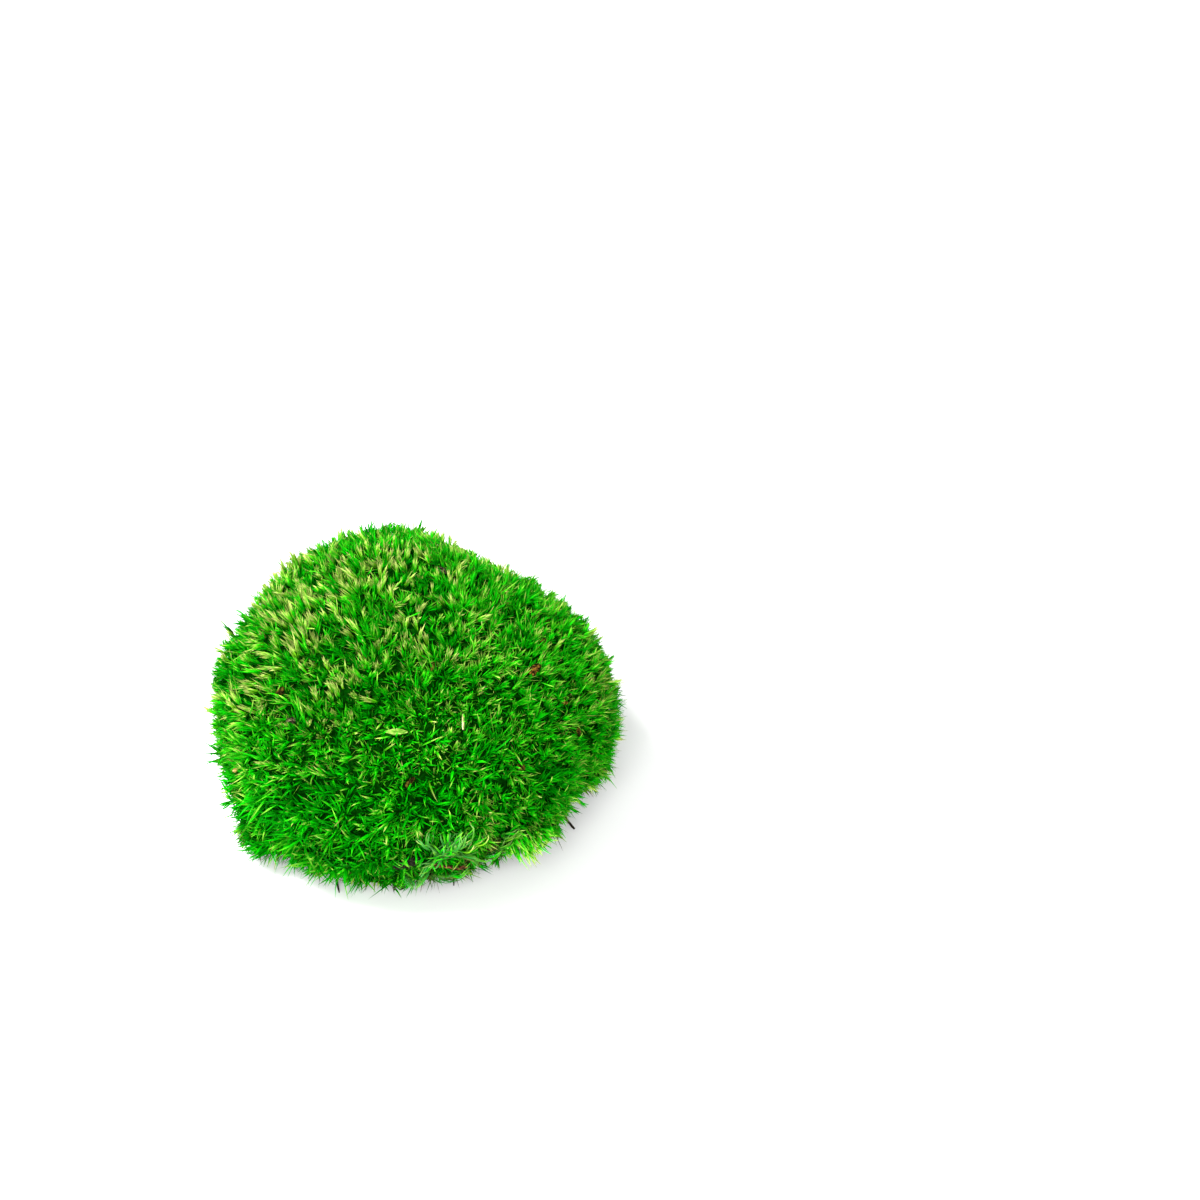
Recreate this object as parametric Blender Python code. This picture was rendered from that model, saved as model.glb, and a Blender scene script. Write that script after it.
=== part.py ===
"""A clump of cushion moss, lifted off the ground and set down on its flat cut underside.

The moss itself is one domed cushion of green shoots that rolls under at its rim. It has grown on a thin
cake of humus and dead stems, which is cut flat below and shows under the raised rim. Bits of forest litter
are caught among the shoots, and a twig and three rootlets stick out from under the rim.

Units are metres and +Z is up. A viewer of the clump's front looks along +Y, with +X to the right. The
origin is on the ground, under the middle of the clump's box.
"""

import math
import random

import bmesh
import bpy
import numpy as np
from mathutils import Matrix, Vector
from mathutils.bvhtree import BVHTree

MM = 0.001

# Driving dimensions of the cushion. A row of eight goes round the clump every 45 degrees from the right:
# right, back right, back, back left, left, front left, front, front right.
CLUMP_HEIGHT = 79 * MM  # ground to the tips of the highest shoots
GIRTH_REACH = [reach * MM for reach in (75, 65, 67, 65, 67, 78, 78, 76)]  # crown axis to the widest tips
GIRTH_HEIGHT = [height * MM for height in (38, 30, 34, 34, 35, 36, 36, 38)]  # where the clump is widest
RIM_REACH = [reach * MM for reach in (58, 55, 57, 56, 57, 63, 64, 57)]  # crown axis to the lowest edge
RIM_HEIGHT = [height * MM for height in (7, 4, 3, 3, 3, 2.5, 3, 8)]  # the lowest edge above the ground
CROWN_SHIFT = Vector((-9 * MM, 6 * MM, 0))  # the top leans to the left and the back
CROWN_FULLNESS = 0.92  # under 1 makes the dome fuller than an ellipse
GIRTH_TILT, RIM_TILT, CEILING_TILT = 98, 132, 146  # degrees from straight up where its stretches meet

# Broad mounds and hollows: azimuth and tilt from straight up in degrees, half width in degrees, and height.
MOUNDS = (
    (50, 57, 13, -6 * MM),
    (70, 57, 10, -2 * MM),
    (92, 50, 14, 1.5 * MM),
    (190, 72, 14, 2 * MM),
    (205, 98, 7, -2 * MM),
    (217, 114, 9, 6 * MM),
    (243, 119, 9, -1.5 * MM),
    (268, 84, 10, -1.5 * MM),
    (314, 116, 8, 7 * MM),
    (330, 110, 9, -2 * MM),
    (350, 108, 12, 2 * MM),
)
# Small pits between the clumps of shoots, in the same way.
PITS = (
    (32, 25, 5, -3 * MM),
    (222, 103, 5, -4 * MM),
    (230, 105, 5, -4 * MM),
    (245, 78, 5, -4 * MM),
    (252, 101, 5, -3 * MM),
    (258, 77, 5, -4.5 * MM),
    (281, 70, 4, -3 * MM),
    (314, 88, 4, -3 * MM),
    (317, 49, 4, -2.5 * MM),
    (334, 91, 4, -4 * MM),
)
TUFT_RELIEF = 2.4 * MM  # how far the tuft tips stand over the gaps between them
RIM_CALM = 0.6  # this share of the relief is gone at the rim
TIP_SHARE = 0.4  # of the cushion's points are tuft tips
CUSHION_SUBDIVISIONS = 5

# The cake of humus and dead stems.
CAKE_HEIGHT = 13 * MM
CAKE_SHARE = 0.86  # its reach as a share of the rim's
CAKE_ROUGHNESS = 1.1 * MM
CAKE_SIDES = 48

GAP = 0.4 * MM  # left between pieces that touch
DENT_DEPTH = 2.4 * MM  # how deep litter is sunk among the shoots
DENT_HALF_WIDTH = 5  # degrees

# Litter on the cushion. Each has its azimuth and tilt on the cushion, and its turn about the surface's
# normal, all in degrees, then its length and width.
FLAKES = {
    "bark_flake_right": (333.5, 52.6, -8, 5.2 * MM, 3.0 * MM, "red_bark"),
    "bark_flake_left": (226.3, 46.5, -70, 4.0 * MM, 2.8 * MM, "brown_bark"),
    "bark_flake_crown": (45, 24, 25, 3.6 * MM, 2.8 * MM, "dark_bark"),
    "bark_flake_middle": (298, 30.5, 59, 3.2 * MM, 2.0 * MM, "dark_bark"),
    "bark_flake_edge": (330.5, 86, -80, 3.4 * MM, 2.2 * MM, "brown_bark"),
    "bark_flake_low_left": (236.4, 53.4, 31, 3.4 * MM, 2.4 * MM, "brown_bark"),
    "bark_flake_low_right": (308.4, 81.2, -63, 2.9 * MM, 2.2 * MM, "red_bark"),
    "bark_flake_high_right": (348.3, 50.5, -39, 3.2 * MM, 2.3 * MM, "red_bark"),
    "bark_flake_far_right": (332.3, 71, 7, 2.6 * MM, 1.9 * MM, "red_bark"),
    "bud_scale_tan": (221.9, 89, 44, 4.0 * MM, 1.7 * MM, "bud_scale"),
    "bud_scale_curled": (275.5, 72.1, 36, 4.6 * MM, 1.8 * MM, "dark_bark"),
}
FLAKE_THICKNESS = 0.7 * MM
FLAKE_SIDES = 9
FLAKE_CURL = 0.16  # how far its ends bend down, as a share of its length
STRAW = (297.7, 53.5, 66, 5.7 * MM, 0.85 * MM)
STRAW_SHARES = (0.7, 1, 0.95, 0.8, 0.3)  # its width from end to end, as shares of the widest
HUSK = (273.8, 51.2, -7, 7.9 * MM, 2.3 * MM)
HUSK_SHARES = (0.2, 0.7, 1, 0.95, 0.7, 0.25)
BARK_STRIP = (282.3, 111, -33, 14.5 * MM, 1.8 * MM)
STRIP_SHARES = (0.5, 0.8, 0.7, 0.8, 1, 1.2, 0.7)
SOIL_CLOD = (271, 107, 20, 8.0 * MM, 4.6 * MM)
CLOD_FLATNESS = 0.45

# Twig and rootlets, from the cake's side out to their free ends, with the radius at each point.
TWIG = (
    ((44, -26, 7.2), (50, -30, 6.5), (54.3, -35, 5.6), (57.4, -39, 4.2)),
    (0.45, 0.5, 0.5, 0.42),
)
ROOTLETS = {
    "rootlet_front": (
        ((-9.2, -58.8, 1.6), (-7.2, -61.7, 1.0), (-4.1, -65.1, 0.6), (-3, -64.5, 0.6), (-1.9, -63.5, 0.9)),
        (0.34, 0.36, 0.26, 0.2, 0.13),
    ),
    "rootlet_left": (
        ((-26.7, -60.5, 1.2), (-26.2, -63, 0.9), (-25.8, -64.8, 0.7), (-25.4, -66.4, 0.6)),
        (0.34, 0.36, 0.34, 0.16),
    ),
    "rootlet_right": (
        ((14.1, -56.9, 1.4), (14.5, -59.3, 1.1), (14.8, -61.4, 0.8), (14.9, -63, 0.6)),
        (0.26, 0.28, 0.26, 0.18),
    ),
}

# How a piece of litter is let down on the cushion.
SEAT_START = 6 * MM
SEAT_STEP = 0.1 * MM
SEAT_NEAR = 15 * MM  # the cushion's points that could touch the piece are nearer than this

# What each piece is made of: its colour in linear red, green and blue, and its roughness.
SUBSTANCES = {
    "moss": ((0.023, 0.246, 0.008), 0.6),
    "humus": ((0.026, 0.017, 0.010), 0.95),
    "red_bark": ((0.188, 0.045, 0.009), 0.85),
    "brown_bark": ((0.156, 0.061, 0.015), 0.85),
    "dark_bark": ((0.052, 0.034, 0.026), 0.85),
    "bud_scale": ((0.402, 0.188, 0.050), 0.7),
    "straw": ((0.680, 0.546, 0.262), 0.6),
    "husk": ((0.305, 0.402, 0.102), 0.6),
    "root": ((0.021, 0.014, 0.010), 0.75),
}


def clear_scene():
    for obj in list(bpy.data.objects):
        bpy.data.objects.remove(obj, do_unlink=True)


def own_material(name, substance):
    """A piece's own material, with the colour and roughness of what it is made of."""
    colour, roughness = SUBSTANCES[substance]
    material = bpy.data.materials.new(name)
    material.use_nodes = True
    shader = material.node_tree.nodes["Principled BSDF"]
    shader.inputs["Base Color"].default_value = (*colour, 1)
    shader.inputs["Roughness"].default_value = roughness
    shader.inputs["Metallic"].default_value = 0
    material.diffuse_color = (*colour, 1)
    return material


def add_piece(name, mesh, substance, clump):
    """Turns a bmesh into a named object that belongs to the clump."""
    bmesh.ops.recalc_face_normals(mesh, faces=mesh.faces)
    data = bpy.data.meshes.new(name)
    mesh.to_mesh(data)
    mesh.free()
    data.shade_smooth()
    data.set_sharp_from_angle(angle=math.radians(40))
    data.materials.append(own_material(name, substance))
    obj = bpy.data.objects.new(name, data)
    bpy.context.scene.collection.objects.link(obj)
    obj.parent = clump
    return obj


def around(eight, azimuth):
    """The value at an azimuth in radians, on the smooth closed curve through eight even ones."""
    waves = np.fft.rfft(eight) / len(eight)
    turns = np.exp(1j * azimuth * np.arange(len(waves)))
    counted = np.array([1, 2, 2, 2, 1])  # every wave but the first and the last stands for two
    return float(np.real(np.sum(counted * waves * turns)))


def direction(azimuth_deg, tilt_deg):
    """The unit vector at an azimuth, tilted from straight up."""
    azimuth, tilt = math.radians(azimuth_deg), math.radians(tilt_deg)
    level = math.sin(tilt)
    return Vector((level * math.cos(azimuth), level * math.sin(azimuth), math.cos(tilt)))


def profile(azimuth, tilt_deg):
    """Reach and height of the mean surface: the dome, the rim rolled under it, and the hollow below."""
    reach, height = around(GIRTH_REACH, azimuth), around(GIRTH_HEIGHT, azimuth)
    rim_reach, rim_height = around(RIM_REACH, azimuth), around(RIM_HEIGHT, azimuth)
    ceiling_reach, ceiling = 0.92 * rim_reach, CAKE_HEIGHT + 2 * GAP
    if tilt_deg <= GIRTH_TILT:
        turn = math.radians(90 * tilt_deg / GIRTH_TILT)
        rise = (CLUMP_HEIGHT - height) * math.cos(turn) ** CROWN_FULLNESS
        return reach * math.sin(turn) ** CROWN_FULLNESS, height + rise
    if tilt_deg <= RIM_TILT:
        turn = math.radians(90 * (tilt_deg - GIRTH_TILT) / (RIM_TILT - GIRTH_TILT))
        drawn_in = (reach - rim_reach) * (1 - math.cos(turn))
        return reach - drawn_in, height - (height - rim_height) * math.sin(turn)
    if tilt_deg <= CEILING_TILT:
        share = (tilt_deg - RIM_TILT) / (CEILING_TILT - RIM_TILT)
        return (
            rim_reach + (ceiling_reach - rim_reach) * share,
            rim_height + (ceiling - rim_height) * share,
        )
    return ceiling_reach * (180 - tilt_deg) / (180 - CEILING_TILT), ceiling


def litter_places():
    """Azimuth and tilt of everything that is sunk in the cushion."""
    sunk = [*FLAKES.values(), STRAW, HUSK, BARK_STRIP, SOIL_CLOD]
    return [place[:2] for place in sunk]


def nearness(way, azimuth, tilt, half_width):
    """How near a direction is to a place on the cushion: 1 there, and less all round it."""
    away = math.degrees(way.angle(direction(azimuth, tilt))) / half_width
    return math.exp(-(away**2))


def swelling(way):
    """How far the mounds, pits and litter dents lift the mean surface at a direction."""
    dents = [(azimuth, tilt, DENT_HALF_WIDTH, -DENT_DEPTH) for azimuth, tilt in litter_places()]
    return sum(height * nearness(way, *place) for *place, height in [*MOUNDS, *PITS, *dents])


def relief(way):
    """How far the tuft tips stand out at a direction: less at the rim, and none below the litter."""
    tilt_deg = math.degrees(way.angle(Vector((0, 0, 1))))
    past_girth = max(0.0, (tilt_deg - GIRTH_TILT) / (RIM_TILT - GIRTH_TILT))
    covered = max(nearness(way, *place, DENT_HALF_WIDTH) for place in litter_places())
    return TUFT_RELIEF * (1 - RIM_CALM * past_girth) * (1 - covered)


def cushion_point(way):
    """The point of the cushion's mean surface for a direction, and whether shoots grow there."""
    azimuth = math.atan2(way.y, way.x)
    tilt_deg = math.degrees(math.acos(max(-1.0, min(1.0, way.z))))
    reach, height = profile(azimuth, tilt_deg)
    point = Vector((reach * math.cos(azimuth), reach * math.sin(azimuth), height))
    point += CROWN_SHIFT * (height / CLUMP_HEIGHT) ** 1.5
    mossy = tilt_deg < RIM_TILT
    if mossy:
        point += way * swelling(way)
    return point, mossy


def make_cushion(clump):
    """The green moss: a rolled-under dome whose points alternate between tuft tips and gaps."""
    chance = random.Random(11)
    mesh = bmesh.new()
    bmesh.ops.create_icosphere(mesh, subdivisions=CUSHION_SUBDIVISIONS, radius=1)
    for vertex in mesh.verts:
        way = vertex.co.normalized()
        point, mossy = cushion_point(way)
        if mossy:
            is_tip = chance.random() < TIP_SHARE
            point += way * relief(way) * (chance.uniform(0.3, 0.6) if is_tip else -chance.random() / 2)
        vertex.co = point
    return add_piece("moss_cushion", mesh, "moss", clump)


def make_cake(clump):
    """The cut cake of humus and dead stems that the shoots grow from, flat below."""
    chance = random.Random(5)
    mesh = bmesh.new()
    rings = []
    for height, share in ((0, 0.96), (0.3, 1.0), (0.7, 0.99), (1, 0.95)):
        ring = []
        for side in range(CAKE_SIDES):
            azimuth = 2 * math.pi * side / CAKE_SIDES
            reach = around(RIM_REACH, azimuth) * CAKE_SHARE * share
            reach += chance.uniform(-CAKE_ROUGHNESS, CAKE_ROUGHNESS)
            corner = (reach * math.cos(azimuth), reach * math.sin(azimuth), height * CAKE_HEIGHT)
            ring.append(mesh.verts.new(corner))
        rings.append(ring)
    skin_rings(mesh, rings)
    return add_piece("humus_cake", mesh, "humus", clump)


def skin_rings(mesh, rings):
    """Joins rings of equal count with quads, and caps both ends."""
    count = len(rings[0])
    for lower, upper in zip(rings, rings[1:]):
        for side in range(count):
            after = (side + 1) % count
            mesh.faces.new((lower[side], lower[after], upper[after], upper[side]))
    mesh.faces.new(list(reversed(rings[0])))
    mesh.faces.new(rings[-1])


def flake_mesh(length, width, seed):
    """A curled chip with a broken outline, lying in XY with its hollow side down."""
    chance = random.Random(seed)
    mesh = bmesh.new()
    layers = []
    for lift, share in ((0, 1.0), (FLAKE_THICKNESS, 0.86)):
        ring = []
        for side in range(FLAKE_SIDES):
            turn = 2 * math.pi * side / FLAKE_SIDES
            reach = share * chance.uniform(0.78, 1.1) / 2
            x, y = length * reach * math.cos(turn), width * reach * math.sin(turn)
            ring.append(mesh.verts.new((x, y, lift - FLAKE_CURL * x * x / length)))
        middle = mesh.verts.new((0, 0, lift + 0.12 * FLAKE_THICKNESS))
        layers.append((ring, middle))
    (low, low_middle), (high, high_middle) = layers
    for side in range(FLAKE_SIDES):
        after = (side + 1) % FLAKE_SIDES
        mesh.faces.new((low_middle, low[after], low[side]))
        mesh.faces.new((high_middle, high[side], high[after]))
        mesh.faces.new((low[side], low[after], high[after], high[side]))
    return mesh


def stick_mesh(points, radii, flatness=1.0, sides=8, seed=0):
    """A rough tapering stick through points, its cross-sections flattened along Z and square to its run."""
    chance = random.Random(seed)
    mesh = bmesh.new()
    rings = []
    for place, (point, radius) in enumerate(zip(points, radii)):
        before, after = points[max(place - 1, 0)], points[min(place + 1, len(points) - 1)]
        run = (after - before).normalized()
        across = run.cross(Vector((0, 0, 1))).normalized()
        upward = across.cross(run)
        ring = []
        for side in range(sides):
            turn = 2 * math.pi * side / sides
            rough = radius * chance.uniform(0.88, 1.12)
            offset = across * math.cos(turn) + upward * math.sin(turn) * flatness
            ring.append(mesh.verts.new(point + offset * rough))
        rings.append(ring)
    skin_rings(mesh, rings)
    return mesh


def spindle_mesh(length, width, shares, flatness, bow, seed):
    """A stick lying along X whose width follows shares from end to end, bowed upward in the middle."""
    last = len(shares) - 1
    points = []
    for place in range(len(shares)):
        along = 2 * place / last - 1
        points.append(Vector((along * length / 2, 0, bow * length * (1 - along * along))))
    return stick_mesh(points, [share * width / 2 for share in shares], flatness, seed=seed)


def clod_mesh(length, width, seed):
    """A crumb of dark soil."""
    chance = random.Random(seed)
    mesh = bmesh.new()
    bmesh.ops.create_icosphere(mesh, subdivisions=3, radius=0.5)
    for vertex in mesh.verts:
        vertex.co *= chance.uniform(0.86, 1.08)
        vertex.co *= Vector((length, width, width * CLOD_FLATNESS))
    return mesh


def tree_of(obj, matrix):
    mesh = bmesh.new()
    mesh.from_mesh(obj.data)
    mesh.transform(matrix)
    tree = BVHTree.FromBMesh(mesh)
    points = [vertex.co.copy() for vertex in mesh.verts]
    mesh.free()
    return tree, points


def seat(obj, place, cushion):
    """Lays a piece on the cushion at its azimuth and tilt, turned, as low as the gap allows."""
    azimuth, tilt, turn_deg = place[:3]
    ground, ground_points = tree_of(cushion, Matrix.Identity(4))
    spot, _ = cushion_point(direction(azimuth, tilt))
    east = cushion_point(direction(azimuth + 4, tilt))[0] - cushion_point(direction(azimuth - 4, tilt))[0]
    south = cushion_point(direction(azimuth, tilt + 4))[0] - cushion_point(direction(azimuth, tilt - 4))[0]
    normal = south.cross(east).normalized()
    east.normalize()
    north = normal.cross(east)
    facing = Matrix((east, north, normal)).transposed().to_4x4()
    facing = facing @ Matrix.Rotation(math.radians(turn_deg), 4, "Z")
    near = [point for point in ground_points if (point - spot).length < SEAT_NEAR]

    def room(lift):
        matrix = Matrix.Translation(spot + normal * lift) @ facing
        shape, points = tree_of(obj, matrix)
        if shape.overlap(ground):
            return 0.0
        return min([ground.find_nearest(p)[3] for p in points] + [shape.find_nearest(p)[3] for p in near])

    lift = SEAT_START
    while room(lift - SEAT_STEP) > GAP:
        lift -= SEAT_STEP
    obj.matrix_basis = Matrix.Translation(spot + normal * lift) @ facing


def add_litter(cushion, clump):
    """Everything that is caught among the shoots."""
    for seed, (name, place) in enumerate(FLAKES.items()):
        *_, length, width, substance = place
        flake = add_piece(name, flake_mesh(length, width, seed), substance, clump)
        seat(flake, place, cushion)
    straw_mesh = spindle_mesh(*STRAW[3:], STRAW_SHARES, flatness=0.45, bow=0.03, seed=21)
    seat(add_piece("straw", straw_mesh, "straw", clump), STRAW, cushion)
    husk_mesh = spindle_mesh(*HUSK[3:], HUSK_SHARES, flatness=0.6, bow=0.05, seed=22)
    seat(add_piece("husk", husk_mesh, "husk", clump), HUSK, cushion)
    strip_mesh = spindle_mesh(*BARK_STRIP[3:], STRIP_SHARES, flatness=0.5, bow=0.04, seed=23)
    seat(add_piece("bark_strip", strip_mesh, "red_bark", clump), BARK_STRIP, cushion)
    seat(add_piece("soil_clod", clod_mesh(*SOIL_CLOD[3:], seed=24), "humus", clump), SOIL_CLOD, cushion)


def add_sticks(clump):
    """The twig and the rootlets that come out from under the rim."""
    for name, (points, radii) in {"twig": TWIG, **ROOTLETS}.items():
        route = [Vector(point) * MM for point in points]
        thick = [radius * MM for radius in radii]
        sides = 8 if name == "twig" else 6
        add_piece(name, stick_mesh(route, thick, sides=sides, seed=31), "root", clump)


def centre_on_ground(clump):
    """Moves the whole clump so that the origin is on the ground, under the middle of its box."""
    bpy.context.view_layer.update()
    corners = [
        piece.matrix_world @ vertex.co for piece in clump.children for vertex in piece.data.vertices
    ]
    low = Vector(map(min, zip(*corners)))
    high = Vector(map(max, zip(*corners)))
    clump.location = (-(low.x + high.x) / 2, -(low.y + high.y) / 2, -low.z)


def main():
    clear_scene()
    clump = bpy.data.objects.new("clump", None)
    bpy.context.scene.collection.objects.link(clump)
    cushion = make_cushion(clump)
    make_cake(clump)
    add_litter(cushion, clump)
    add_sticks(clump)
    centre_on_ground(clump)


main()
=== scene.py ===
# %% [markdown]
# # A clump of cushion moss
# The CAD model of this clump is a plain frame: one solid for the moss, out to its leaf tips, one for the
# cake of humus below it, and one for each bit of litter. Real cushion moss is thousands of upright shoots
# packed side by side, each a small brush of narrow leaves. So this lesson doesn't paint a lump: every leaf
# is modelled, and the colour sits on the leaves.

import math

import bmesh
import bpy
import numpy as np
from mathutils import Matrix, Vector, noise
from mathutils.bvhtree import BVHTree
from mathutils.kdtree import KDTree


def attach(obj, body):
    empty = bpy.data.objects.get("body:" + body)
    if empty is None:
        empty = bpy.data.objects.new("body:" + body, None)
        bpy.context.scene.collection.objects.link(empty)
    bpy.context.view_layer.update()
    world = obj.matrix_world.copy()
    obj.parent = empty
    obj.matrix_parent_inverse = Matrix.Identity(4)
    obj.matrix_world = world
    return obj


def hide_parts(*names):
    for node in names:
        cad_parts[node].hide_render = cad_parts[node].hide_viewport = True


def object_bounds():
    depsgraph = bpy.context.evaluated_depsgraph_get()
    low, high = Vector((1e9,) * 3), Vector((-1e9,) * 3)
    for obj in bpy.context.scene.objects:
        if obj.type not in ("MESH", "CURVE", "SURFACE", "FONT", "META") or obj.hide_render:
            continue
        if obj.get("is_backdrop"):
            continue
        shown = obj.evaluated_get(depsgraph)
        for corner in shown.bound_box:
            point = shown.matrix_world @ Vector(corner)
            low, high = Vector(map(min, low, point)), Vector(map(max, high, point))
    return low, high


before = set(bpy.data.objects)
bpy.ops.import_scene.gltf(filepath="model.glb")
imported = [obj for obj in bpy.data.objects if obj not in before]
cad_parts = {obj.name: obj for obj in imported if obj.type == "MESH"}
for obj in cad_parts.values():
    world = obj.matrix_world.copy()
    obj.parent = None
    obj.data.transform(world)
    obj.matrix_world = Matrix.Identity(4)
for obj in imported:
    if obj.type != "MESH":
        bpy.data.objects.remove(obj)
cad_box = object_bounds()
MM = 0.001
print("the clump measures", [round(side / MM, 1) for side in cad_box[1] - cad_box[0]], "mm")

# %% [markdown]
# ## The camera
# The photograph looks down on the clump by 42 degrees, through a longish lens from about a metre away. The
# same camera has a second use here: a place seen in the photograph can be found on the model by sending a
# ray through that pixel.

# %% Camera
CAMERA_TILT = math.radians(42)
CAMERA_DISTANCE = 1.05
LENS, SENSOR = 85, 36
LOOKED_AT = Vector((65.4, 43.3, 44.0)) * MM
PHOTO_SIDE = 1200


def new_object(name, data):
    """An object that is linked to the scene."""
    thing = bpy.data.objects.new(name, data)
    bpy.context.scene.collection.objects.link(thing)
    return thing


camera = new_object("camera", bpy.data.cameras.new("camera"))
camera.data.lens, camera.data.sensor_width = LENS, SENSOR
camera.data.clip_start, camera.data.clip_end = 0.01, 20
to_camera = Vector((0, -math.cos(CAMERA_TILT), math.sin(CAMERA_TILT)))
camera.location = LOOKED_AT + to_camera * CAMERA_DISTANCE
camera.rotation_euler = (math.radians(90) - CAMERA_TILT, 0, 0)
bpy.context.scene.camera = camera
print("the camera stands at", [round(x, 3) for x in camera.location])


def sight_line(x, y):
    """The direction in which the camera sees a pixel of the photograph."""
    half_tan = SENSOR / 2 / LENS
    across = (2 * x / PHOTO_SIDE - 1) * half_tan
    up = (1 - 2 * y / PHOTO_SIDE) * half_tan
    return (camera.rotation_euler.to_matrix() @ Vector((across, up, -1))).normalized()


# %% [markdown]
# ## A short way to write materials
# Every material below is a Principled shader fed by a few nodes. Writing each node in three lines would
# bury the idea, so one helper adds a node, wires its inputs and gives its output. The others stretch a
# value, mix two colours, make a colour ramp, and let one texture steer the shine and the small bumps.

# %% Material helpers
def new_material(name):
    """A material, its Principled shader, a function that adds a node, and one that wires an input."""
    material = bpy.data.materials.new(name)
    material.use_nodes = True
    nodes, links = material.node_tree.nodes, material.node_tree.links

    def wire(value, socket):
        if isinstance(value, bpy.types.NodeSocket):
            links.new(value, socket)
        else:
            socket.default_value = value

    def add(kind, settings=(), out=0, **inputs):
        node = nodes.new("ShaderNode" + kind)
        for setting, value in dict(settings).items():
            setattr(node, setting, value)
        for socket, value in inputs.items():
            wire(value, node.inputs[socket.replace("_", " ")])
        return node.outputs[out]

    return material, nodes["Principled BSDF"], add, wire


def stretch(add, value, to, at=(0, 1), **settings):
    """Moves a value from one range to another."""
    ends = dict(From_Min=at[0], From_Max=at[1], To_Min=to[0], To_Max=to[1])
    return add("MapRange", settings, Value=value, **ends)


def blend(add, wire, share, first, second):
    """Mixes two colours."""
    mixed = add("Mix", {"data_type": "RGBA"}, out=2, Factor=share)
    wire(first, mixed.node.inputs[6])
    wire(second, mixed.node.inputs[7])
    return mixed


def ramp(add, fac, stops):
    """A colour ramp from a list of places and colours, which are in thousandths."""
    colour = add("ValToRGB", Fac=fac)
    elements = colour.node.color_ramp.elements
    while len(elements) < len(stops):
        elements.new(0.5)
    for element, (place, parts) in zip(elements, stops):
        element.position, element.color = place, (*(part / 1000 for part in parts), 1)
    return colour


def shine_and_bumps(add, wire, shader, texture, roughness, strength, height, specular):
    """Lets one texture vary the roughness between two values and raise bumps."""
    wire(stretch(add, texture, roughness), shader.inputs["Roughness"])
    wire(add("Bump", Height=texture, Strength=strength, Distance=height), shader.inputs["Normal"])
    shader.inputs["Specular IOR Level"].default_value = specular


print("helpers ready")

# %% [markdown]
# ## Floor and light
# The clump was photographed on white under soft light, with a faint shadow to its right. A softbox to the
# upper left, a wide one in front and a white surround do the same. The Standard view keeps the greens as
# strong as they are in the picture; Blender's usual view would soften them.

# %% Floor and light
FLOOR_HALF_WIDTH = 4.0
FLOOR_DROP = 0.1 * MM
FLOOR_CORNERS = ((-1, -1, 0), (1, -1, 0), (1, 1, 0), (-1, 1, 0))
SOFTBOXES = {  # size in metres, power in watts, place
    "key": (0.42, 27.0, Vector((-0.56, 0.10, 0.98))),
    "fill": (1.3, 31.0, Vector((0.0, -1.25, 0.85))),
}
SURROUND_STRENGTH = 0.66

floor_material, shader, add, wire = new_material("floor_card")
mottle = add("TexNoise", Scale=3.0, Detail=2.0)
wire(stretch(add, mottle, (0.91, 0.94)), shader.inputs["Base Color"])
shader.inputs["Roughness"].default_value = 0.7

floor_mesh = bpy.data.meshes.new("floor")
floor_mesh.from_pydata([Vector(corner) * FLOOR_HALF_WIDTH for corner in FLOOR_CORNERS], [], [(0, 1, 2, 3)])
floor_mesh.materials.append(floor_material)
floor = new_object("floor", floor_mesh)
floor.location.z = -FLOOR_DROP
floor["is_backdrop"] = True

for name, (size, power, place) in SOFTBOXES.items():
    softbox = new_object(name, bpy.data.lights.new(name, "AREA"))
    softbox.data.size, softbox.data.energy = size, power
    softbox.location = place
    softbox.rotation_euler = (-place).to_track_quat("-Z", "Y").to_euler()

world = bpy.data.worlds.new("white_surround")
world.use_nodes = True
surround = world.node_tree.nodes["Background"]
surround.inputs["Color"].default_value = (1, 1, 1, 1)
surround.inputs["Strength"].default_value = SURROUND_STRENGTH
bpy.context.scene.world = world
bpy.context.scene.view_settings.view_transform = "Standard"
print(len(SOFTBOXES), "softboxes, surround", SURROUND_STRENGTH)

# %% [markdown]
# ## The surface that the leaf tips reach
# The cushion's solid says how far the leaf tips reach. Its fine bumps would make neighbouring shoots point
# every which way, so the shoots grow by a smoothed copy.

# %% Smooth the cushion
SAME_PLACE = 0.01 * MM
SMOOTHING_ROUNDS = 3
EVERY_WAY = {"use_axis_x": True, "use_axis_y": True, "use_axis_z": True}
STEPS_PAST = range(-90, 90, 2)  # in mm, round the clump's middle, for a line of sight that misses it


def open_solid(node):
    """A solid's mesh, open to edit, with the points that its faces share joined into one."""
    work = bmesh.new()
    work.from_mesh(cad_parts[node].data)
    bmesh.ops.remove_doubles(work, verts=work.verts, dist=SAME_PLACE)
    return work


def tree_and_normals():
    """The smoothed cushion as a tree to look places up in, and the normal at each of its points."""
    smooth_cushion.normal_update()
    normals = np.array([vertex.normal for vertex in smooth_cushion.verts])
    return BVHTree.FromBMesh(smooth_cushion), normals


def seen_at(x, y):
    """The point of the cushion that the photograph shows at a pixel, or the one nearest to its ray."""
    ray = sight_line(x, y)
    point, *_ = cushion_tree.ray_cast(camera.location, ray)
    if point is None:
        walk = [camera.location + ray * (CAMERA_DISTANCE + step * MM) for step in STEPS_PAST]
        point = min((cushion_tree.find_nearest(place) for place in walk), key=lambda hit: hit[3])[0]
    return point


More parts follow.
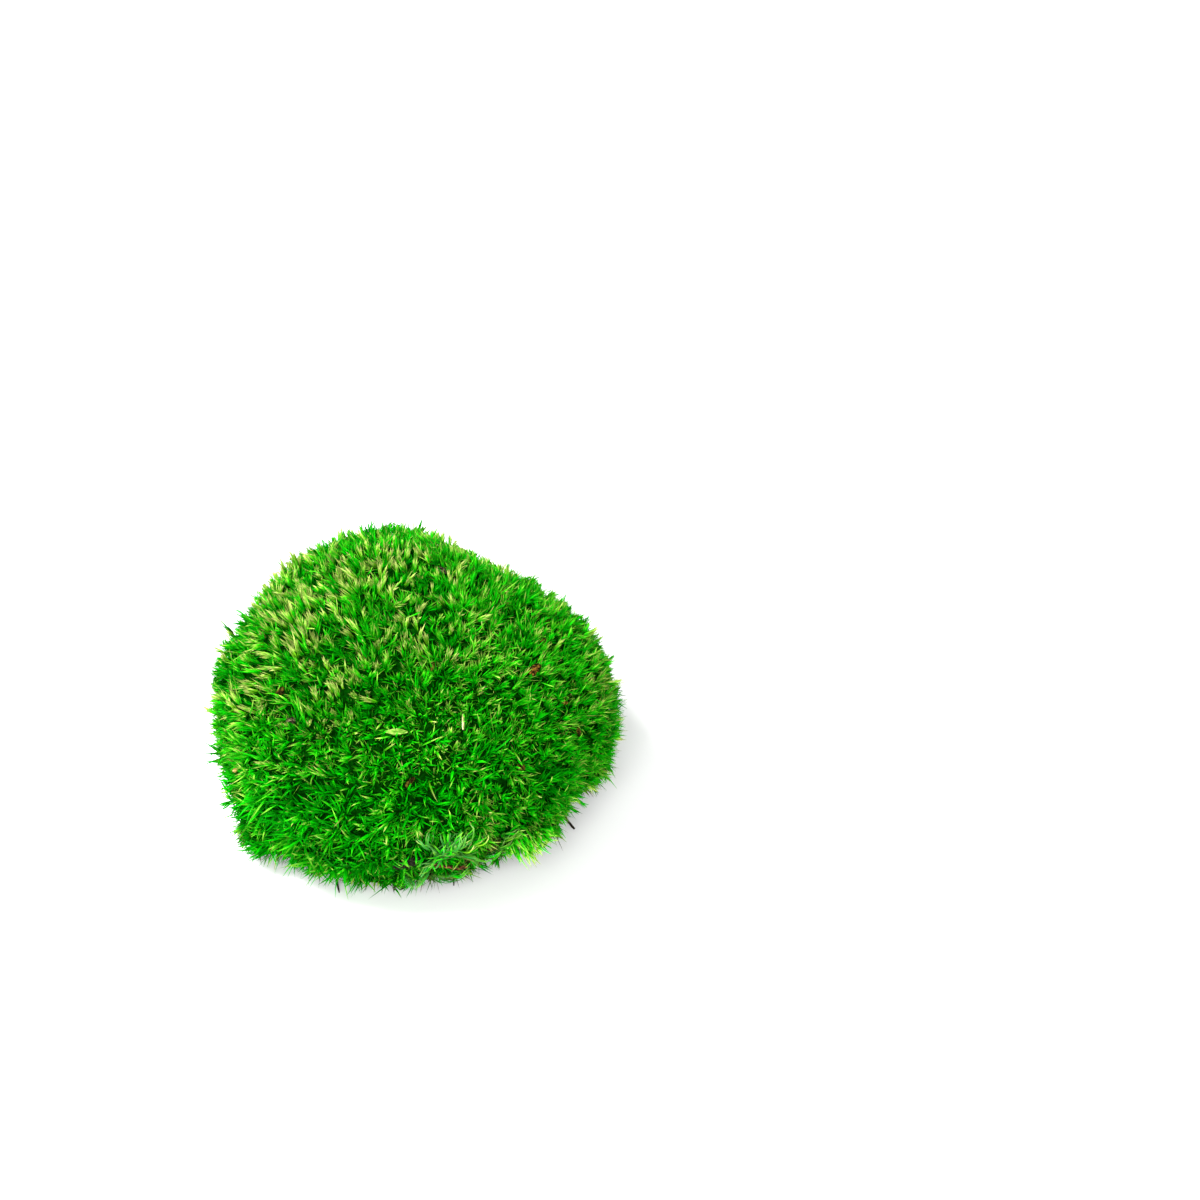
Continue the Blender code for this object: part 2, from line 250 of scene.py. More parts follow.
smooth_cushion = open_solid("moss_cushion")
for _ in range(SMOOTHING_ROUNDS):
    bmesh.ops.smooth_vert(smooth_cushion, verts=smooth_cushion.verts, factor=0.5, **EVERY_WAY)
bmesh.ops.triangulate(smooth_cushion, faces=smooth_cushion.faces)
cushion_tree, corner_normals = tree_and_normals()
corner_points = np.array([vertex.co for vertex in smooth_cushion.verts])
triangles = np.array([[vertex.index for vertex in face.verts] for face in smooth_cushion.faces])
print(len(triangles), "triangles carry the shoots")

# %% [markdown]
# ## How the moss differs from place to place
# On the upper left the shoots are stout and tipped with pale straw green. Low on the left they open into
# loose rosettes, in front and on the crown their leaves are broad, a yellow-green lobe hangs at the lower
# right, and low on the front the green turns olive. Some stretches, mostly low on the left and front, have
# their green darkened as painted shade, and in small hollows the shoots stay short and their green is
# darkened as painted shade too. Each of these is a patch, a centre and a radius, and its strength fades
# with distance, so one character runs softly into the next.

# %% Patches
def patches_at(*spots):
    """Patches of the cushion, from the pixel of each centre and its radius in mm."""
    return [(seen_at(x, y), radius) for x, y, radius in spots]


def strength(points, patches):
    """How strongly a set of patches reaches each point, from 0 to 1."""
    reach = np.zeros(len(points))
    for centre, radius in patches:
        away = np.linalg.norm(points - np.array(centre), axis=1) / (radius * MM)
        reach = np.maximum(reach, np.exp(-(away**2)))
    return reach


PALE_PATCHES = patches_at((300, 625, 27), (395, 562, 17), (240, 690, 15), (330, 690, 16), (450, 545, 14))
PALE_PATCHES += patches_at((420, 620, 14), (345, 572, 13))
PALE_PATCHES += [(Vector((-48, 34, 55)) * MM, 20), (Vector((30, 50, 50)) * MM, 12)]  # toward the back
ROSETTE_PATCHES = patches_at((262, 815, 21), (330, 848, 20), (388, 862, 9))
BROAD_PATCHES = patches_at((420, 790, 28), (300, 830, 30), (430, 535, 15))
YELLOW_PATCHES = patches_at((540, 848, 10), (600, 660, 8), (480, 645, 8))
OLIVE_PATCHES = patches_at((452, 877, 7), (503, 852, 5), (428, 876, 5))
# Painted shade: where these patches reach, the green of the shoots is darkened, low on the left and front.
PAINTED_SHADE_PATCHES = patches_at((285, 838, 26), (235, 800, 14), (350, 800, 12), (425, 800, 11), (560, 780, 9))
PAINTED_SHADE_PATCHES += patches_at((430, 868, 8))
# Small hollows: the shoots there are sunk, and their green is darkened as painted shade.
HOLLOWS_WITH_PAINTED_SHADE = patches_at((350, 790, 9), (300, 792, 6), (242, 804, 7), (262, 822, 5), (588, 732, 5))
HOLLOWS_WITH_PAINTED_SHADE += patches_at((545, 772, 6), (456, 574, 3.5), (500, 692, 4), (332, 848, 5), (425, 778, 5))
HOLLOWS_WITH_PAINTED_SHADE += patches_at((366, 846, 4), (440, 853, 5), (460, 848, 5), (426, 868, 4), (475, 858, 4))
print("patches:", len(PALE_PATCHES), "pale,", len(ROSETTE_PATCHES), "rosette,", len(HOLLOWS_WITH_PAINTED_SHADE), "dark")

# %% [markdown]
# ## Trimming the outline
# The photograph shows where the tufts stand out past an even dome, and where they stop short of it. Moving
# the smoothed surface there, before anything grows on it, takes the mat and the shoots along together.

# %% Trim the outline
REACHES = (  # pixel, radius in mm, and how many mm further out the surface goes, or less far
    (244, 834, 8, 5.0), (264, 850, 6, 3.0), (312, 872, 5, 2.5), (606, 775, 7, 5.0), (218, 655, 5, 2.0),
    (304, 572, 7, -2.2), (272, 592, 5, -2.0), (352, 884, 6, -2.5), (380, 884, 6, -4.5), (402, 884, 7, -4.0),
    (485, 862, 5, -2.0), (525, 852, 7, -2.5), (548, 838, 6, -1.5), (470, 874, 4, 2.0),
)
LOWEST_SURFACE = 1.5 * MM


def move_points(work, points):
    for vertex, point in zip(work.verts, points):
        vertex.co = point


further = sum(mm * strength(corner_points, patches_at(spot)) for *spot, mm in REACHES)
corner_points = corner_points + corner_normals * further[:, None] * MM
corner_points[:, 2] = np.maximum(corner_points[:, 2], LOWEST_SURFACE)
move_points(smooth_cushion, corner_points)
cushion_tree, corner_normals = tree_and_normals()
print("the surface moves by", round(further.min(), 1), "to", round(further.max(), 1), "mm")

# %% [markdown]
# ## Putting a piece in the scene
# Each finished mesh becomes a piece of the clump. It rides on the clump's one body and hides the plain
# solid that it stands for.

# %% Add a piece
def finished_mesh(name, work, material):
    """An edited mesh, closed, shaded smooth and given its material."""
    mesh = bpy.data.meshes.new(name)
    work.to_mesh(mesh)
    work.free()
    mesh.shade_smooth()
    mesh.materials.append(material)
    return mesh


def add_piece(name, mesh, slot, *nodes):
    """Puts a finished mesh in the scene as a piece of the clump, in place of the nodes it stands for."""
    piece = new_object(name, mesh)
    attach(piece, "root")
    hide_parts(*nodes)
    print(f"{name}: {len(mesh.polygons)} faces")


print("pieces will stand in for", len(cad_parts), "plain solids")

# %% [markdown]
# ## Detail for the plain solids
# The bits of litter come as plain solids. Each gets a finer copy: its mesh is divided, and its points are
# pushed about by noise. Every point also stores its own place in the piece, the long way first, so that a
# material can run its grain along the piece.

# %% Finer copies
CLUMP_HEART = Vector((0, 0, 30)) * MM


def rough(places, scale, seed):
    """Noise at each place, from about -1 to 1."""
    shift = Vector((seed, 0, 0))
    return np.array([noise.fractal(Vector(place) / scale + shift, 1.0, 2.0, 3) for place in places])


def finer_copy(node, material, cuts, sink_mm, shape):
    """A divided copy of a node's mesh, sunk among the shoots. shape(places, size) moves its points."""
    work = open_solid(node)
    bmesh.ops.subdivide_edges(work, edges=work.edges, cuts=cuts, use_grid_fill=True)
    bmesh.ops.triangulate(work, faces=work.faces)
    points = np.array([vertex.co for vertex in work.verts])
    middle = points.mean(axis=0)
    *_, axes = np.linalg.svd(points - middle, full_matrices=False)
    places = (points - middle) @ axes.T
    places = shape(places, np.ptp(places, axis=0))
    inward = np.array(CLUMP_HEART) - middle
    middle = middle + inward / np.linalg.norm(inward) * sink_mm * MM
    move_points(work, middle + places @ axes)
    bmesh.ops.recalc_face_normals(work, faces=work.faces)
    mesh = finished_mesh(node, work, material)
    grain = mesh.attributes.new("grain_place", "FLOAT_VECTOR", "POINT")
    grain.data.foreach_set("vector", (places / MM).ravel())
    return mesh


print("finer copies ready")

# %% [markdown]
# ## Shapes of the litter
# A chip of bark breaks along a torn outline, a straw or a stick dries into furrows, and a crumb of soil is
# lumpy. Carving that by hand would take long and hardly show. Noise does it: across the chip's faces,
# along the straw, and all ways in the crumb.

# %% Shapes of the litter
TEAR_SCALE, GRAIN_SCALE, GRAIN_HEIGHT = 0.9 * MM, 0.7 * MM, 0.22 * MM
FURROW_SCALE, LUMP_SCALE = 0.5 * MM, 1.1 * MM


def torn(seed, tear=0.8):
    """Shapes a flat chip: a ragged outline, and a grain on its faces."""
    def shape(places, size):
        edge = np.clip(np.hypot(places[:, 0] / size[0], places[:, 1] / size[1]) * 2, 0, 1.2)
        ragged = 1 + tear * edge * rough(places, TEAR_SCALE, seed)
        moved = places * np.stack([ragged, ragged, np.ones(len(places))], axis=1)
        moved[:, 2] += GRAIN_HEIGHT * rough(places * (0.5, 2.0, 1.0), GRAIN_SCALE, seed + 5)
        return moved
    return shape


def furrowed(seed, depth):
    """Shapes a straw or a stick: furrows along its length, and uneven thickness."""
    def shape(places, size):
        swell = 1 + depth * rough(places * (0.35, 1.0, 1.0), FURROW_SCALE, seed)
        return places * np.stack([np.ones(len(places)), swell, swell], axis=1)
    return shape


def lumpy(seed, depth):
    """Shapes a crumb of soil."""
    def shape(places, size):
        return places * (1 + depth * rough(places, LUMP_SCALE, seed))[:, None]
    return shape


print("shapes ready: torn, furrowed, lumpy")

# %% [markdown]
# ## Finishes of the litter
# Bark, straw and roots are streaked along their length, and soil is speckled. One recipe does for all: a
# noise, drawn out along the grain, sets the colour, the shine and the bumps.

# %% Finishes of the litter
LITTER_FINISH = {  # three colours in thousandths, scale per mm, how drawn out, roughness, contrast
    "red_bark": ((3, 2, 0.5), (35, 18, 2), (190, 100, 12), 1.1, 1.3, 0.85, 0.16),
    "brown_bark": ((3, 2, 0.5), (18, 13, 1.5), (85, 62, 7), 1.2, 1.4, 0.85, 0.18),
    "dark_bark": ((3, 3, 1), (14, 13, 5), (130, 120, 60), 1.2, 1.4, 0.85, 0.2),
    "bud_scale": ((140, 70, 12), (340, 220, 50), (500, 420, 140), 1.6, 3.0, 0.6, 0.25),
    "straw": ((160, 120, 30), (420, 410, 160), (640, 640, 360), 1.8, 6.0, 0.5, 0.24),
    "husk": ((40, 160, 8), (190, 380, 40), (420, 580, 140), 1.9, 7.0, 0.5, 0.22),
    "soil": ((2, 2, 1), (8, 10, 5), (35, 42, 22), 2.4, 1.0, 0.95, 0.24),
    "strip_bark": ((4, 3, 1), (22, 13, 5), (220, 85, 30), 1.3, 2.5, 0.85, 0.18),
    "root_bark": ((4, 3, 2), (16, 11, 8), (60, 45, 30), 1.8, 3.0, 0.8, 0.25),
}


def streaked_material(name, dark, middle, light, scale, drawn_out, roughness, contrast):
    """Streaks along the grain, in three colours, with bumps to match."""
    material, shader, add, wire = new_material(name)
    grain = add("Attribute", {"attribute_name": "grain_place"}, out="Vector")
    grain = add("Mapping", Vector=grain, Scale=(1 / drawn_out, 1, 1))
    streaks = add("TexNoise", Vector=grain, Scale=scale, Detail=5.0, Roughness=0.65)
    stops = [(0.5 - contrast / 2, dark), (0.5, middle), (0.5 + contrast / 2, light)]
    wire(ramp(add, streaks, stops), shader.inputs["Base Color"])
    shine = (roughness - 0.1, roughness + 0.1)
    shine_and_bumps(add, wire, shader, streaks, shine, 0.5, 0.3 * MM, 0.03)
    return material


finishes = {name: streaked_material(name, *recipe) for name, recipe in LITTER_FINISH.items()}
print("finishes:", ", ".join(finishes))

# %% [markdown]
# ## Litter
# Nine chips of bark, two papery scales, a straw, a green bract, a strip of bark and a crumb of soil lie
# among the shoots, and a stub of twig and three rootlets come out from under the rim. The litter comes
# before the moss, because the leaves will grow round it.

# %% Litter
CHIPS = {  # slot, finish, sink in mm, seed of its tear
    "right": ("red_bark", "red_bark", 0.8, 1),
    "high_right": ("red_bark", "brown_bark", 1.1, 18),
    "far_right": ("red_bark", "red_bark", 1.1, 19),
    "low_right": ("red_bark", "brown_bark", 1.3, 2),
    "left": ("brown_bark", "brown_bark", 0.8, 3),
    "edge": ("brown_bark", "brown_bark", 1.3, 4),
    "low_left": ("brown_bark", "dark_bark", 1.1, 5),
    "crown": ("dark_bark", "dark_bark", 0.9, 6),
    "middle": ("dark_bark", "brown_bark", 1.4, 7),
}
LITTER = {  # piece: node, slot, finish, cuts, sink in mm, shape
    f"torn_chip_{place}": (f"bark_flake_{place}", slot, finish, 3, sink, torn(seed))
    for place, (slot, finish, sink, seed) in CHIPS.items()
}
LITTER |= {
    "curled_scale": ("bud_scale_curled", "dark_bark", "brown_bark", 3, 1.3, torn(8, 0.5)),
    "papery_scale": ("bud_scale_tan", "bud_scale", "bud_scale", 3, 0.2, torn(9, 0.3)),
    "bark_strip_worn": ("bark_strip", "red_bark", "strip_bark", 4, 0.9, furrowed(10, 0.75)),
    "dry_straw": ("straw", "straw", "straw", 3, 0.9, furrowed(11, 0.25)),
    "dry_bract": ("husk", "husk", "husk", 3, 1.4, furrowed(12, 0.25)),
    "soil_crumb": ("soil_clod", "humus", "soil", 4, 2.0, lumpy(13, 0.8)),
    "twig_stub": ("twig", "root", "root_bark", 3, 0, furrowed(14, 0.3)),
}
LITTER |= {
    f"root_hair_{side}": (f"rootlet_{side}", "root", "root_bark", 2, 0, furrowed(seed, 0.2))
    for side, seed in (("front", 15), ("left", 16), ("right", 17))
}
litter_points, litter_faces, litter_clouds = [], [], {}
for name, (node, slot, finish, cuts, sink, shape) in LITTER.items():
    mesh = finer_copy(node, finishes[finish], cuts, sink, shape)
    add_piece(name, mesh, slot, node)
    litter_clouds[name] = np.array([vertex.co for vertex in mesh.vertices])
    litter_faces += [[len(litter_points) + number for number in face.vertices] for face in mesh.polygons]
    litter_points += [Vector(place) for place in litter_clouds[name]]
litter_tree = BVHTree.FromPolygons(litter_points, litter_faces)

# %% [markdown]
# ## Where the shoots stand
# Shoots push each other apart as they grow, so they stand neither on top of one another nor in an even
# grid. Points thrown at random would leave clots and holes. Instead many candidates are thrown on the
# surface, by area, and each one that is kept clears the others within its own spacing.

# %% Scatter the shoots
CANDIDATES = 90000
SHOOT_SPACING = 2.1 * MM
ROSETTE_SPACING, BROAD_SPACING, PALE_SPACING = 1.0, 0.28, 0.10  # how much wider, as a share
RIM_DOWNWARD = -0.75  # no green shoot starts where the surface faces down more than this
SEED = 7  # another number would grow another clump

chance = np.random.default_rng(SEED)


def unit(vectors):
    return vectors / np.maximum(np.linalg.norm(vectors, axis=-1, keepdims=True), 1e-12)


def scatter(count):
    """Random points on the cushion, spread evenly by area, with their normals."""
    a, b, c = (corner_points[triangles[:, corner]] for corner in range(3))
    area = np.linalg.norm(np.cross(b - a, c - a), axis=1)
    picked = triangles[chance.choice(len(triangles), count, p=area / area.sum())]
    u, v = chance.random((2, count, 1))
    flip = u + v > 1
    u, v = np.where(flip, 1 - u, u), np.where(flip, 1 - v, v)
    shares = np.stack([1 - u - v, u, v], axis=1)
    points = (shares * corner_points[picked]).sum(axis=1)
    return points, unit((shares * corner_normals[picked]).sum(axis=1))


def thin_out(points, spacing):
    """Keeps points so that none is nearer to another than its own spacing."""
    tree = KDTree(len(points))
    for index, point in enumerate(points):
        tree.insert(point, index)
    tree.balance()
    free = np.ones(len(points), bool)
    kept = []
    for index, point in enumerate(points):
        if free[index]:
            kept.append(index)
            for _, other, _ in tree.find_range(point, spacing[index]):
                free[other] = False
    return np.array(kept)


points, normals = scatter(CANDIDATES)
loosened = 1 + ROSETTE_SPACING * strength(points, ROSETTE_PATCHES)
loosened = np.maximum(loosened, 1 + BROAD_SPACING * strength(points, BROAD_PATCHES))
loosened = np.maximum(loosened, 1 + PALE_SPACING * strength(points, PALE_PATCHES))
kept = thin_out(points, SHOOT_SPACING * loosened)
kept = kept[normals[kept, 2] > RIM_DOWNWARD]
tips, normals = points[kept], normals[kept]
print(len(tips), "shoots")

# %% [markdown]
# ## Which way they grow
# All the shoots started from the middle of the clump's base and grew outward and up to the light, so a
# shoot points away from there. Neighbours also lean together, which makes the locks and partings that you
# see. Two noise fields give that lean, one that changes over about 15 mm, one over 5 mm. A few places lean
# their own way: the rosettes turn up, and the lobe at the lower right hangs.

# %% Growth directions
GROWTH_CENTRE = Vector((4, -20, 10)) * MM
LEAN_SCALE, LOCK_SCALE = 15 * MM, 5 * MM
LEAN, LOCK_LEAN, LONE_LEAN = 0.6, 0.65, 0.17  # how strongly shoots lean by patch, by lock and alone
OWN_LEANS = (  # pixel, radius in mm, and the way the shoots turn there
    ((262, 812, 13), (0, -0.1, 0.5)),
    ((248, 840, 7), (-0.4, -0.3, -0.25)),
    ((330, 848, 17), (0, -0.1, 0.5)),
    ((535, 850, 9), (-0.5, -0.4, -0.6)),
    ((402, 876, 8), (0, 0.15, 0.8)),
)
LOWEST_RISE = -0.75
OUTWARD, OUTWARD_LESS = 0.85, 0.5  # how much a shoot grows outward, and how much less on the underside
SQUARE, SQUARE_MORE = 0.15, 0.9  # how much it grows square to the surface, and how much more there


def lean_at(points, scale, seed):
    """A smooth random vector at each point, its three parts each from a noise field."""
    shifts = [Vector((seed, axis * 31.7, 0)) for axis in range(3)]
    return np.array([[noise.noise(Vector(point) / scale + shift) for shift in shifts] for point in points])


outward = unit(tips - np.array(GROWTH_CENTRE))
underside = np.clip(-normals[:, 2:], 0, 1)
growth = outward * (OUTWARD - OUTWARD_LESS * underside) + normals * (SQUARE + SQUARE_MORE * underside)
growth = unit(growth)
growth += LEAN * lean_at(tips, LEAN_SCALE, 3) + LOCK_LEAN * lean_at(tips, LOCK_SCALE, 5)
for spot, lean in OWN_LEANS:
    growth += strength(tips, patches_at(spot))[:, None] * np.array(lean)
growth = unit(growth + chance.normal(0, LONE_LEAN, growth.shape))
growth[:, 2] = np.maximum(growth[:, 2], LOWEST_RISE)
growth = unit(growth)
print("mean growth direction", np.round(growth.mean(axis=0), 2))

# %% [markdown]
# ## One leaf
# A moss leaf is a narrow blade with a midrib, a little channelled, that tapers to a fine tip. Here a blade
# is closed and three-sided: from a foot point it widens into rings of two edges and a keel, and ends in a
# tip. A fine leaf has one ring and 6 triangles, a broad one two rings and 12, so tens of thousands of them
# stay affordable; a long strand has 36. The sides are left flat, because each then catches the light.

# %% Blades
FINE_STATIONS = np.array([0.0, 0.42, 1.0])
BROAD_STATIONS = np.array([0.0, 0.33, 0.68, 1.0])
LONG_STATIONS = np.linspace(0, 1, 8)
WIDTH_ALONG = ([0.0, 0.1, 0.4, 0.7, 1.0], [0.0, 0.7, 1.0, 0.72, 0.0])
KEEL_DEPTH = 0.55
CORNERS = 3
GROUND_CLEARANCE = 0.2 * MM


def blade_points(paths, backs, widths, stations):
    """The points of many blades, from the path of each, the side that its keel faces, and its width."""
    sides = unit(np.cross(np.gradient(paths, axis=1), backs[:, None]))
    half = np.interp(stations, *WIDTH_ALONG)[None, :, None] * widths[:, None, None] / 2
    keels = paths + backs[:, None] * half * KEEL_DEPTH
    rings = np.stack([keels, paths + sides * half, paths - sides * half], axis=2)[:, 1:-1]
    blades = np.concatenate([paths[:, :1], rings.reshape(len(paths), -1, 3), paths[:, -1:]], axis=1)
    lift = np.maximum(0, GROUND_CLEARANCE - blades[:, :, 2].min(axis=1))
    blades[:, :, 2] += lift[:, None]  # a blade that would reach into the ground lies on it instead
    return blades


def blade_triangles(rings):
    """The triangles of one blade with so many rings between foot and tip, by its own point numbers."""
    foot, last, tip = 0, 1 + CORNERS * (rings - 1), 1 + CORNERS * rings
    faces = []
    for corner in range(CORNERS):
        after = (corner + 1) % CORNERS
        faces.append((foot, 1 + after, 1 + corner))
        for low in range(1, last, CORNERS):
            faces.append((low + corner, low + after, low + CORNERS + after))
            faces.append((low + corner, low + CORNERS + after, low + CORNERS + corner))
        faces.append((last + corner, last + after, tip))
    return np.array(faces)


for kind, stations in (("fine", FINE_STATIONS), ("broad", BROAD_STATIONS), ("long", LONG_STATIONS)):
    print(len(blade_triangles(len(stations) - 2)), "triangles in a", kind, "leaf")

# %% [markdown]
# ## Four kinds of shoot
# Fine shoots fill most of the clump, broad ones stand in front and on the crown, stout ones close into
# pale flames, and starry ones open wide. Chance picks the kind, with the odds that the patches give. Noise
# lifts some patches of shoots and lowers others.

# %% Kinds of shoot
SHOOT_KINDS = {  # leaves, length and leaf width in mm, spread of the lowest in degrees, closing,
    # how far they stand proud in mm, disorder, stations
    "fine": (18, 5.7, 0.58, 36, 0.03, -0.2, 0.2, FINE_STATIONS),
    "broad": (15, 6.9, 0.80, 43, 0.02, 0.2, 0.2, BROAD_STATIONS),
    "stout": (17, 7.2, 0.64, 22, 0.25, 1.6, 0.10, BROAD_STATIONS),
    "starry": (20, 9.4, 0.78, 64, -0.04, 1.0, 0.2, BROAD_STATIONS),
}
BROAD_ODDS, STARRY_ODDS, STOUT_ODDS = 0.85, 1.3, 0.60  # at the heart of a patch
STOUT_ANYWHERE = 0.04
RELIEF_SCALE = 7 * MM
RELIEF, ROSETTE_RELIEF, LONE_RELIEF, HOLLOW = 1.6, 2.6, 1.15, 2.6  # in mm

rosette, pale = strength(tips, ROSETTE_PATCHES), strength(tips, PALE_PATCHES)
# dark: how strongly the hollows reach each shoot; they sink it and darken its green as painted shade
yellow, dark = strength(tips, YELLOW_PATCHES), strength(tips, HOLLOWS_WITH_PAINTED_SHADE)
# deep: how strongly the patches of painted shade reach each shoot
deep = strength(tips, PAINTED_SHADE_PATCHES)
draw = chance.random(len(tips))
is_broad = chance.random(len(tips)) < BROAD_ODDS * strength(tips, BROAD_PATCHES)
kind_of_shoot = np.where(is_broad, "broad", "fine")
kind_of_shoot = np.where(draw < STOUT_ODDS * pale + STOUT_ANYWHERE, "stout", kind_of_shoot)
kind_of_shoot = np.where(draw > 1 - STARRY_ODDS * rosette, "starry", kind_of_shoot)
relief = np.array([noise.noise(Vector(tip) / RELIEF_SCALE) for tip in tips])
relief = relief * (RELIEF + ROSETTE_RELIEF * rosette)
lone_relief = chance.normal(0, LONE_RELIEF, len(tips))
tips = tips + growth * (lone_relief + relief - HOLLOW * dark)[:, None] * MM
print({kind: int((kind_of_shoot == kind).sum()) for kind in SHOOT_KINDS})

# %% [markdown]
# ## One shoot
# Leaves sit round the stem in a spiral, each turned from the last by the golden angle, as on most plants.
# The lowest spread the widest and start the deepest; the topmost stand almost upright and close into a
# point. Copies of one shoot would show, so each leaf is worked out on its own.

# %% Leaves of the shoots
GOLDEN_ANGLE = math.radians(137.5)
INNER_SPREAD = math.radians(6)
DEEPEST_FOOT, FOOT_CLIMB = 0.92, 0.4  # where on the stem leaves start, as shares of the shoot's length
LOWEST_LEAF, LEAF_SHRINK = 0.8, 0.24  # how long the leaves are, as shares of the shoot's length
LONG_LEAF_SHARE, LONG_LEAF = 0.12, 1.35
LEAF_NARROWING, SPREAD_CURVE, OPEN_TOP = 0.15, 0.8, 0.8  # from the lowest leaf to the topmost
COMB, COMB_SCALE = 0.16, 6 * MM  # neighbouring leaves bend the same way by this much
UNEVEN = {  # how much shoots and leaves differ: a share of the whole, and in radians for the turn
    "vigour": 0.12, "turn": 0.25, "spread": 0.15, "angle": 0.2, "comb": 0.12, "length": 0.16, "width": 0.14,
}


def varied(share, count):
    """Factors near 1, for things that differ by about a share of their size."""
    return chance.normal(1, share, count)


def bent_paths(roots, ways, lengths, bends, stations):
    """A path from each root that bends aside more and more, with a point at each station."""
    along = stations[None, :, None] * lengths[:, None, None]
    return roots[:, None] + ways[:, None] * along + bends[:, None] * along * stations[None, :, None]


def across_pair(directions):
    """Two unit vectors square to each direction and to each other."""
    helper = np.where(np.abs(directions[:, 2:]) < 0.9, [[0.0, 0.0, 1.0]], [[1.0, 0.0, 0.0]])
    first = unit(np.cross(helper, directions))
    return first, np.cross(directions, first)


def grow_leaves(tips, growth, count, length, width, spread, closing, proud, disorder, stations):
    """The leaves of many shoots of one kind, and for each its shoot's number and its rank up the stem."""
    shoots = len(tips)
    vigour = varied(UNEVEN["vigour"], shoots)
    shoot = np.repeat(np.arange(shoots), count)
    turn = np.tile(np.arange(count), shoots)
    rank = turn / (count - 1)
    first, second = across_pair(growth)
    phase = chance.uniform(0, 2 * math.pi, shoots)[shoot] + turn * GOLDEN_ANGLE
    phase += chance.normal(0, UNEVEN["turn"], len(shoot))
    radial = np.cos(phase)[:, None] * first[shoot] + np.sin(phase)[:, None] * second[shoot]
    outer = math.radians(spread) * varied(UNEVEN["spread"], shoots)
    angle = INNER_SPREAD + (outer[shoot] - INNER_SPREAD) * (1 - rank) ** SPREAD_CURVE
    angle *= varied(UNEVEN["angle"], len(shoot))
    ways = np.cos(angle)[:, None] * growth[shoot] + np.sin(angle)[:, None] * radial
    comb = unit(lean_at(tips, COMB_SCALE, 9) + chance.normal(0, UNEVEN["comb"], tips.shape))
    bends = COMB * comb[shoot] - (closing * (1 - OPEN_TOP * rank))[:, None] * radial
    bends += chance.normal(0, disorder, radial.shape)
    shoot_length = (length * MM * vigour)[shoot]
    roots = tips[shoot] + growth[shoot] * proud * MM
    roots -= growth[shoot] * (shoot_length * (DEEPEST_FOOT - FOOT_CLIMB * rank))[:, None]
    lengths = shoot_length * (LOWEST_LEAF - LEAF_SHRINK * rank) * varied(UNEVEN["length"], len(shoot))
    lengths *= np.where(chance.random(len(shoot)) < LONG_LEAF_SHARE, LONG_LEAF, 1)
    widths = width * MM * (1 - LEAF_NARROWING * rank) * varied(UNEVEN["width"], len(shoot))
    paths = bent_paths(roots, ways, lengths, bends, stations)
    return blade_points(paths, radial, widths, stations), shoot, rank


print("each leaf is turned", round(math.degrees(GOLDEN_ANGLE), 1), "degrees further than the one below it")

# %% [markdown]
# ## Leaves that keep clear of the litter
# On the real clump the leaves grew round each bit of litter. Bending them would be slow work, so here a ray
# is sent along every leaf near the litter, and the leaf is left out if the ray meets any. With that rule at
# hand, all four kinds of shoot grow their leaves.

# %% Keep clear of the litter
LITTER_NEAR = 9 * MM


def runs_through_litter(blades):
    """Which blades would pass through a bit of litter on their way from base to tip."""
    bases, ends = blades[:, 0], blades[:, -1]
    middles = [cloud.mean(axis=0) for cloud in litter_clouds.values()]
    near = np.min([np.linalg.norm(ends - place, axis=1) for place in middles], axis=0) < LITTER_NEAR
    blocked = np.zeros(len(blades), bool)
    for index in np.flatnonzero(near):
        run = Vector(ends[index] - bases[index])
        hit, *_ = litter_tree.ray_cast(Vector(bases[index]), run.normalized(), run.length)
        blocked[index] = hit is not None
    return blocked


leaves = {}
for kind, settings in SHOOT_KINDS.items():
    of_kind = np.flatnonzero(kind_of_shoot == kind)
    blades, shoot, rank = grow_leaves(tips[of_kind], growth[of_kind], *settings)
    clear = ~runs_through_litter(blades)
    leaves[kind] = (blades[clear], of_kind[shoot[clear]], rank[clear], settings[-1])
    print(kind, "shoots have", clear.sum(), "leaves, and", (~clear).sum(), "are left out at the litter")

# %% [markdown]
# ## The colour of a leaf
# Leaves differ in tone, and each one changes from its base to its tip. One material does for all of them
# when both come from the UV map. The map is a palette of 32 tones, each with a darker and a lighter
# column, and a leaf lies in one column with its tip at the top. So the colour can't slip when the model is
# moved or exported. The dark bases are partly the leaves' own colour and partly painted shade, for the
# shade down among the shoots, and a painted highlight lightens each leaf's edges and darkens its midrib.

# %% Leaf material
TONE_STEPS = 32
COLUMNS = 2 * TONE_STEPS
COLUMN_FILL = 0.35  # a leaf's edges stay this far from its column's middle
# The base colours are dark partly as the leaves' own colour and partly as painted shade, deep among the
# shoots.
LEAF_TONES = (  # base, middle and tip colours in thousandths
    ("deep green", (0.1, 26, 0.1), (0.4, 155, 0.4), (0.8, 280, 0.8)),
    ("green", (0.2, 48, 0.1), (0.6, 340, 0.4), (6, 470, 2)),
    ("bright green", (0.3, 60, 0.2), (2, 400, 0.6), (120, 570, 16)),
    ("yellow green", (1, 90, 0.5), (22, 400, 2), (410, 600, 85)),
    ("pale straw", (8, 120, 1), (150, 420, 9), (560, 630, 170)),
    ("sea green", (2, 50, 3), (13, 190, 19), (85, 370, 70)),
    ("olive", (30, 60, 6), (70, 110, 15), (100, 160, 20)),
    ("brown", (30, 18, 7), (70, 40, 15), (120, 70, 25)),
)
TONE = {names[0]: place for place, names in enumerate(LEAF_TONES)}
LAST_TONE = len(LEAF_TONES) - 1
MIDDLE_FROM, TIP_FROM = (0.05, 0.42), (0.45, 0.84)  # where on a leaf the next colour begins and is full


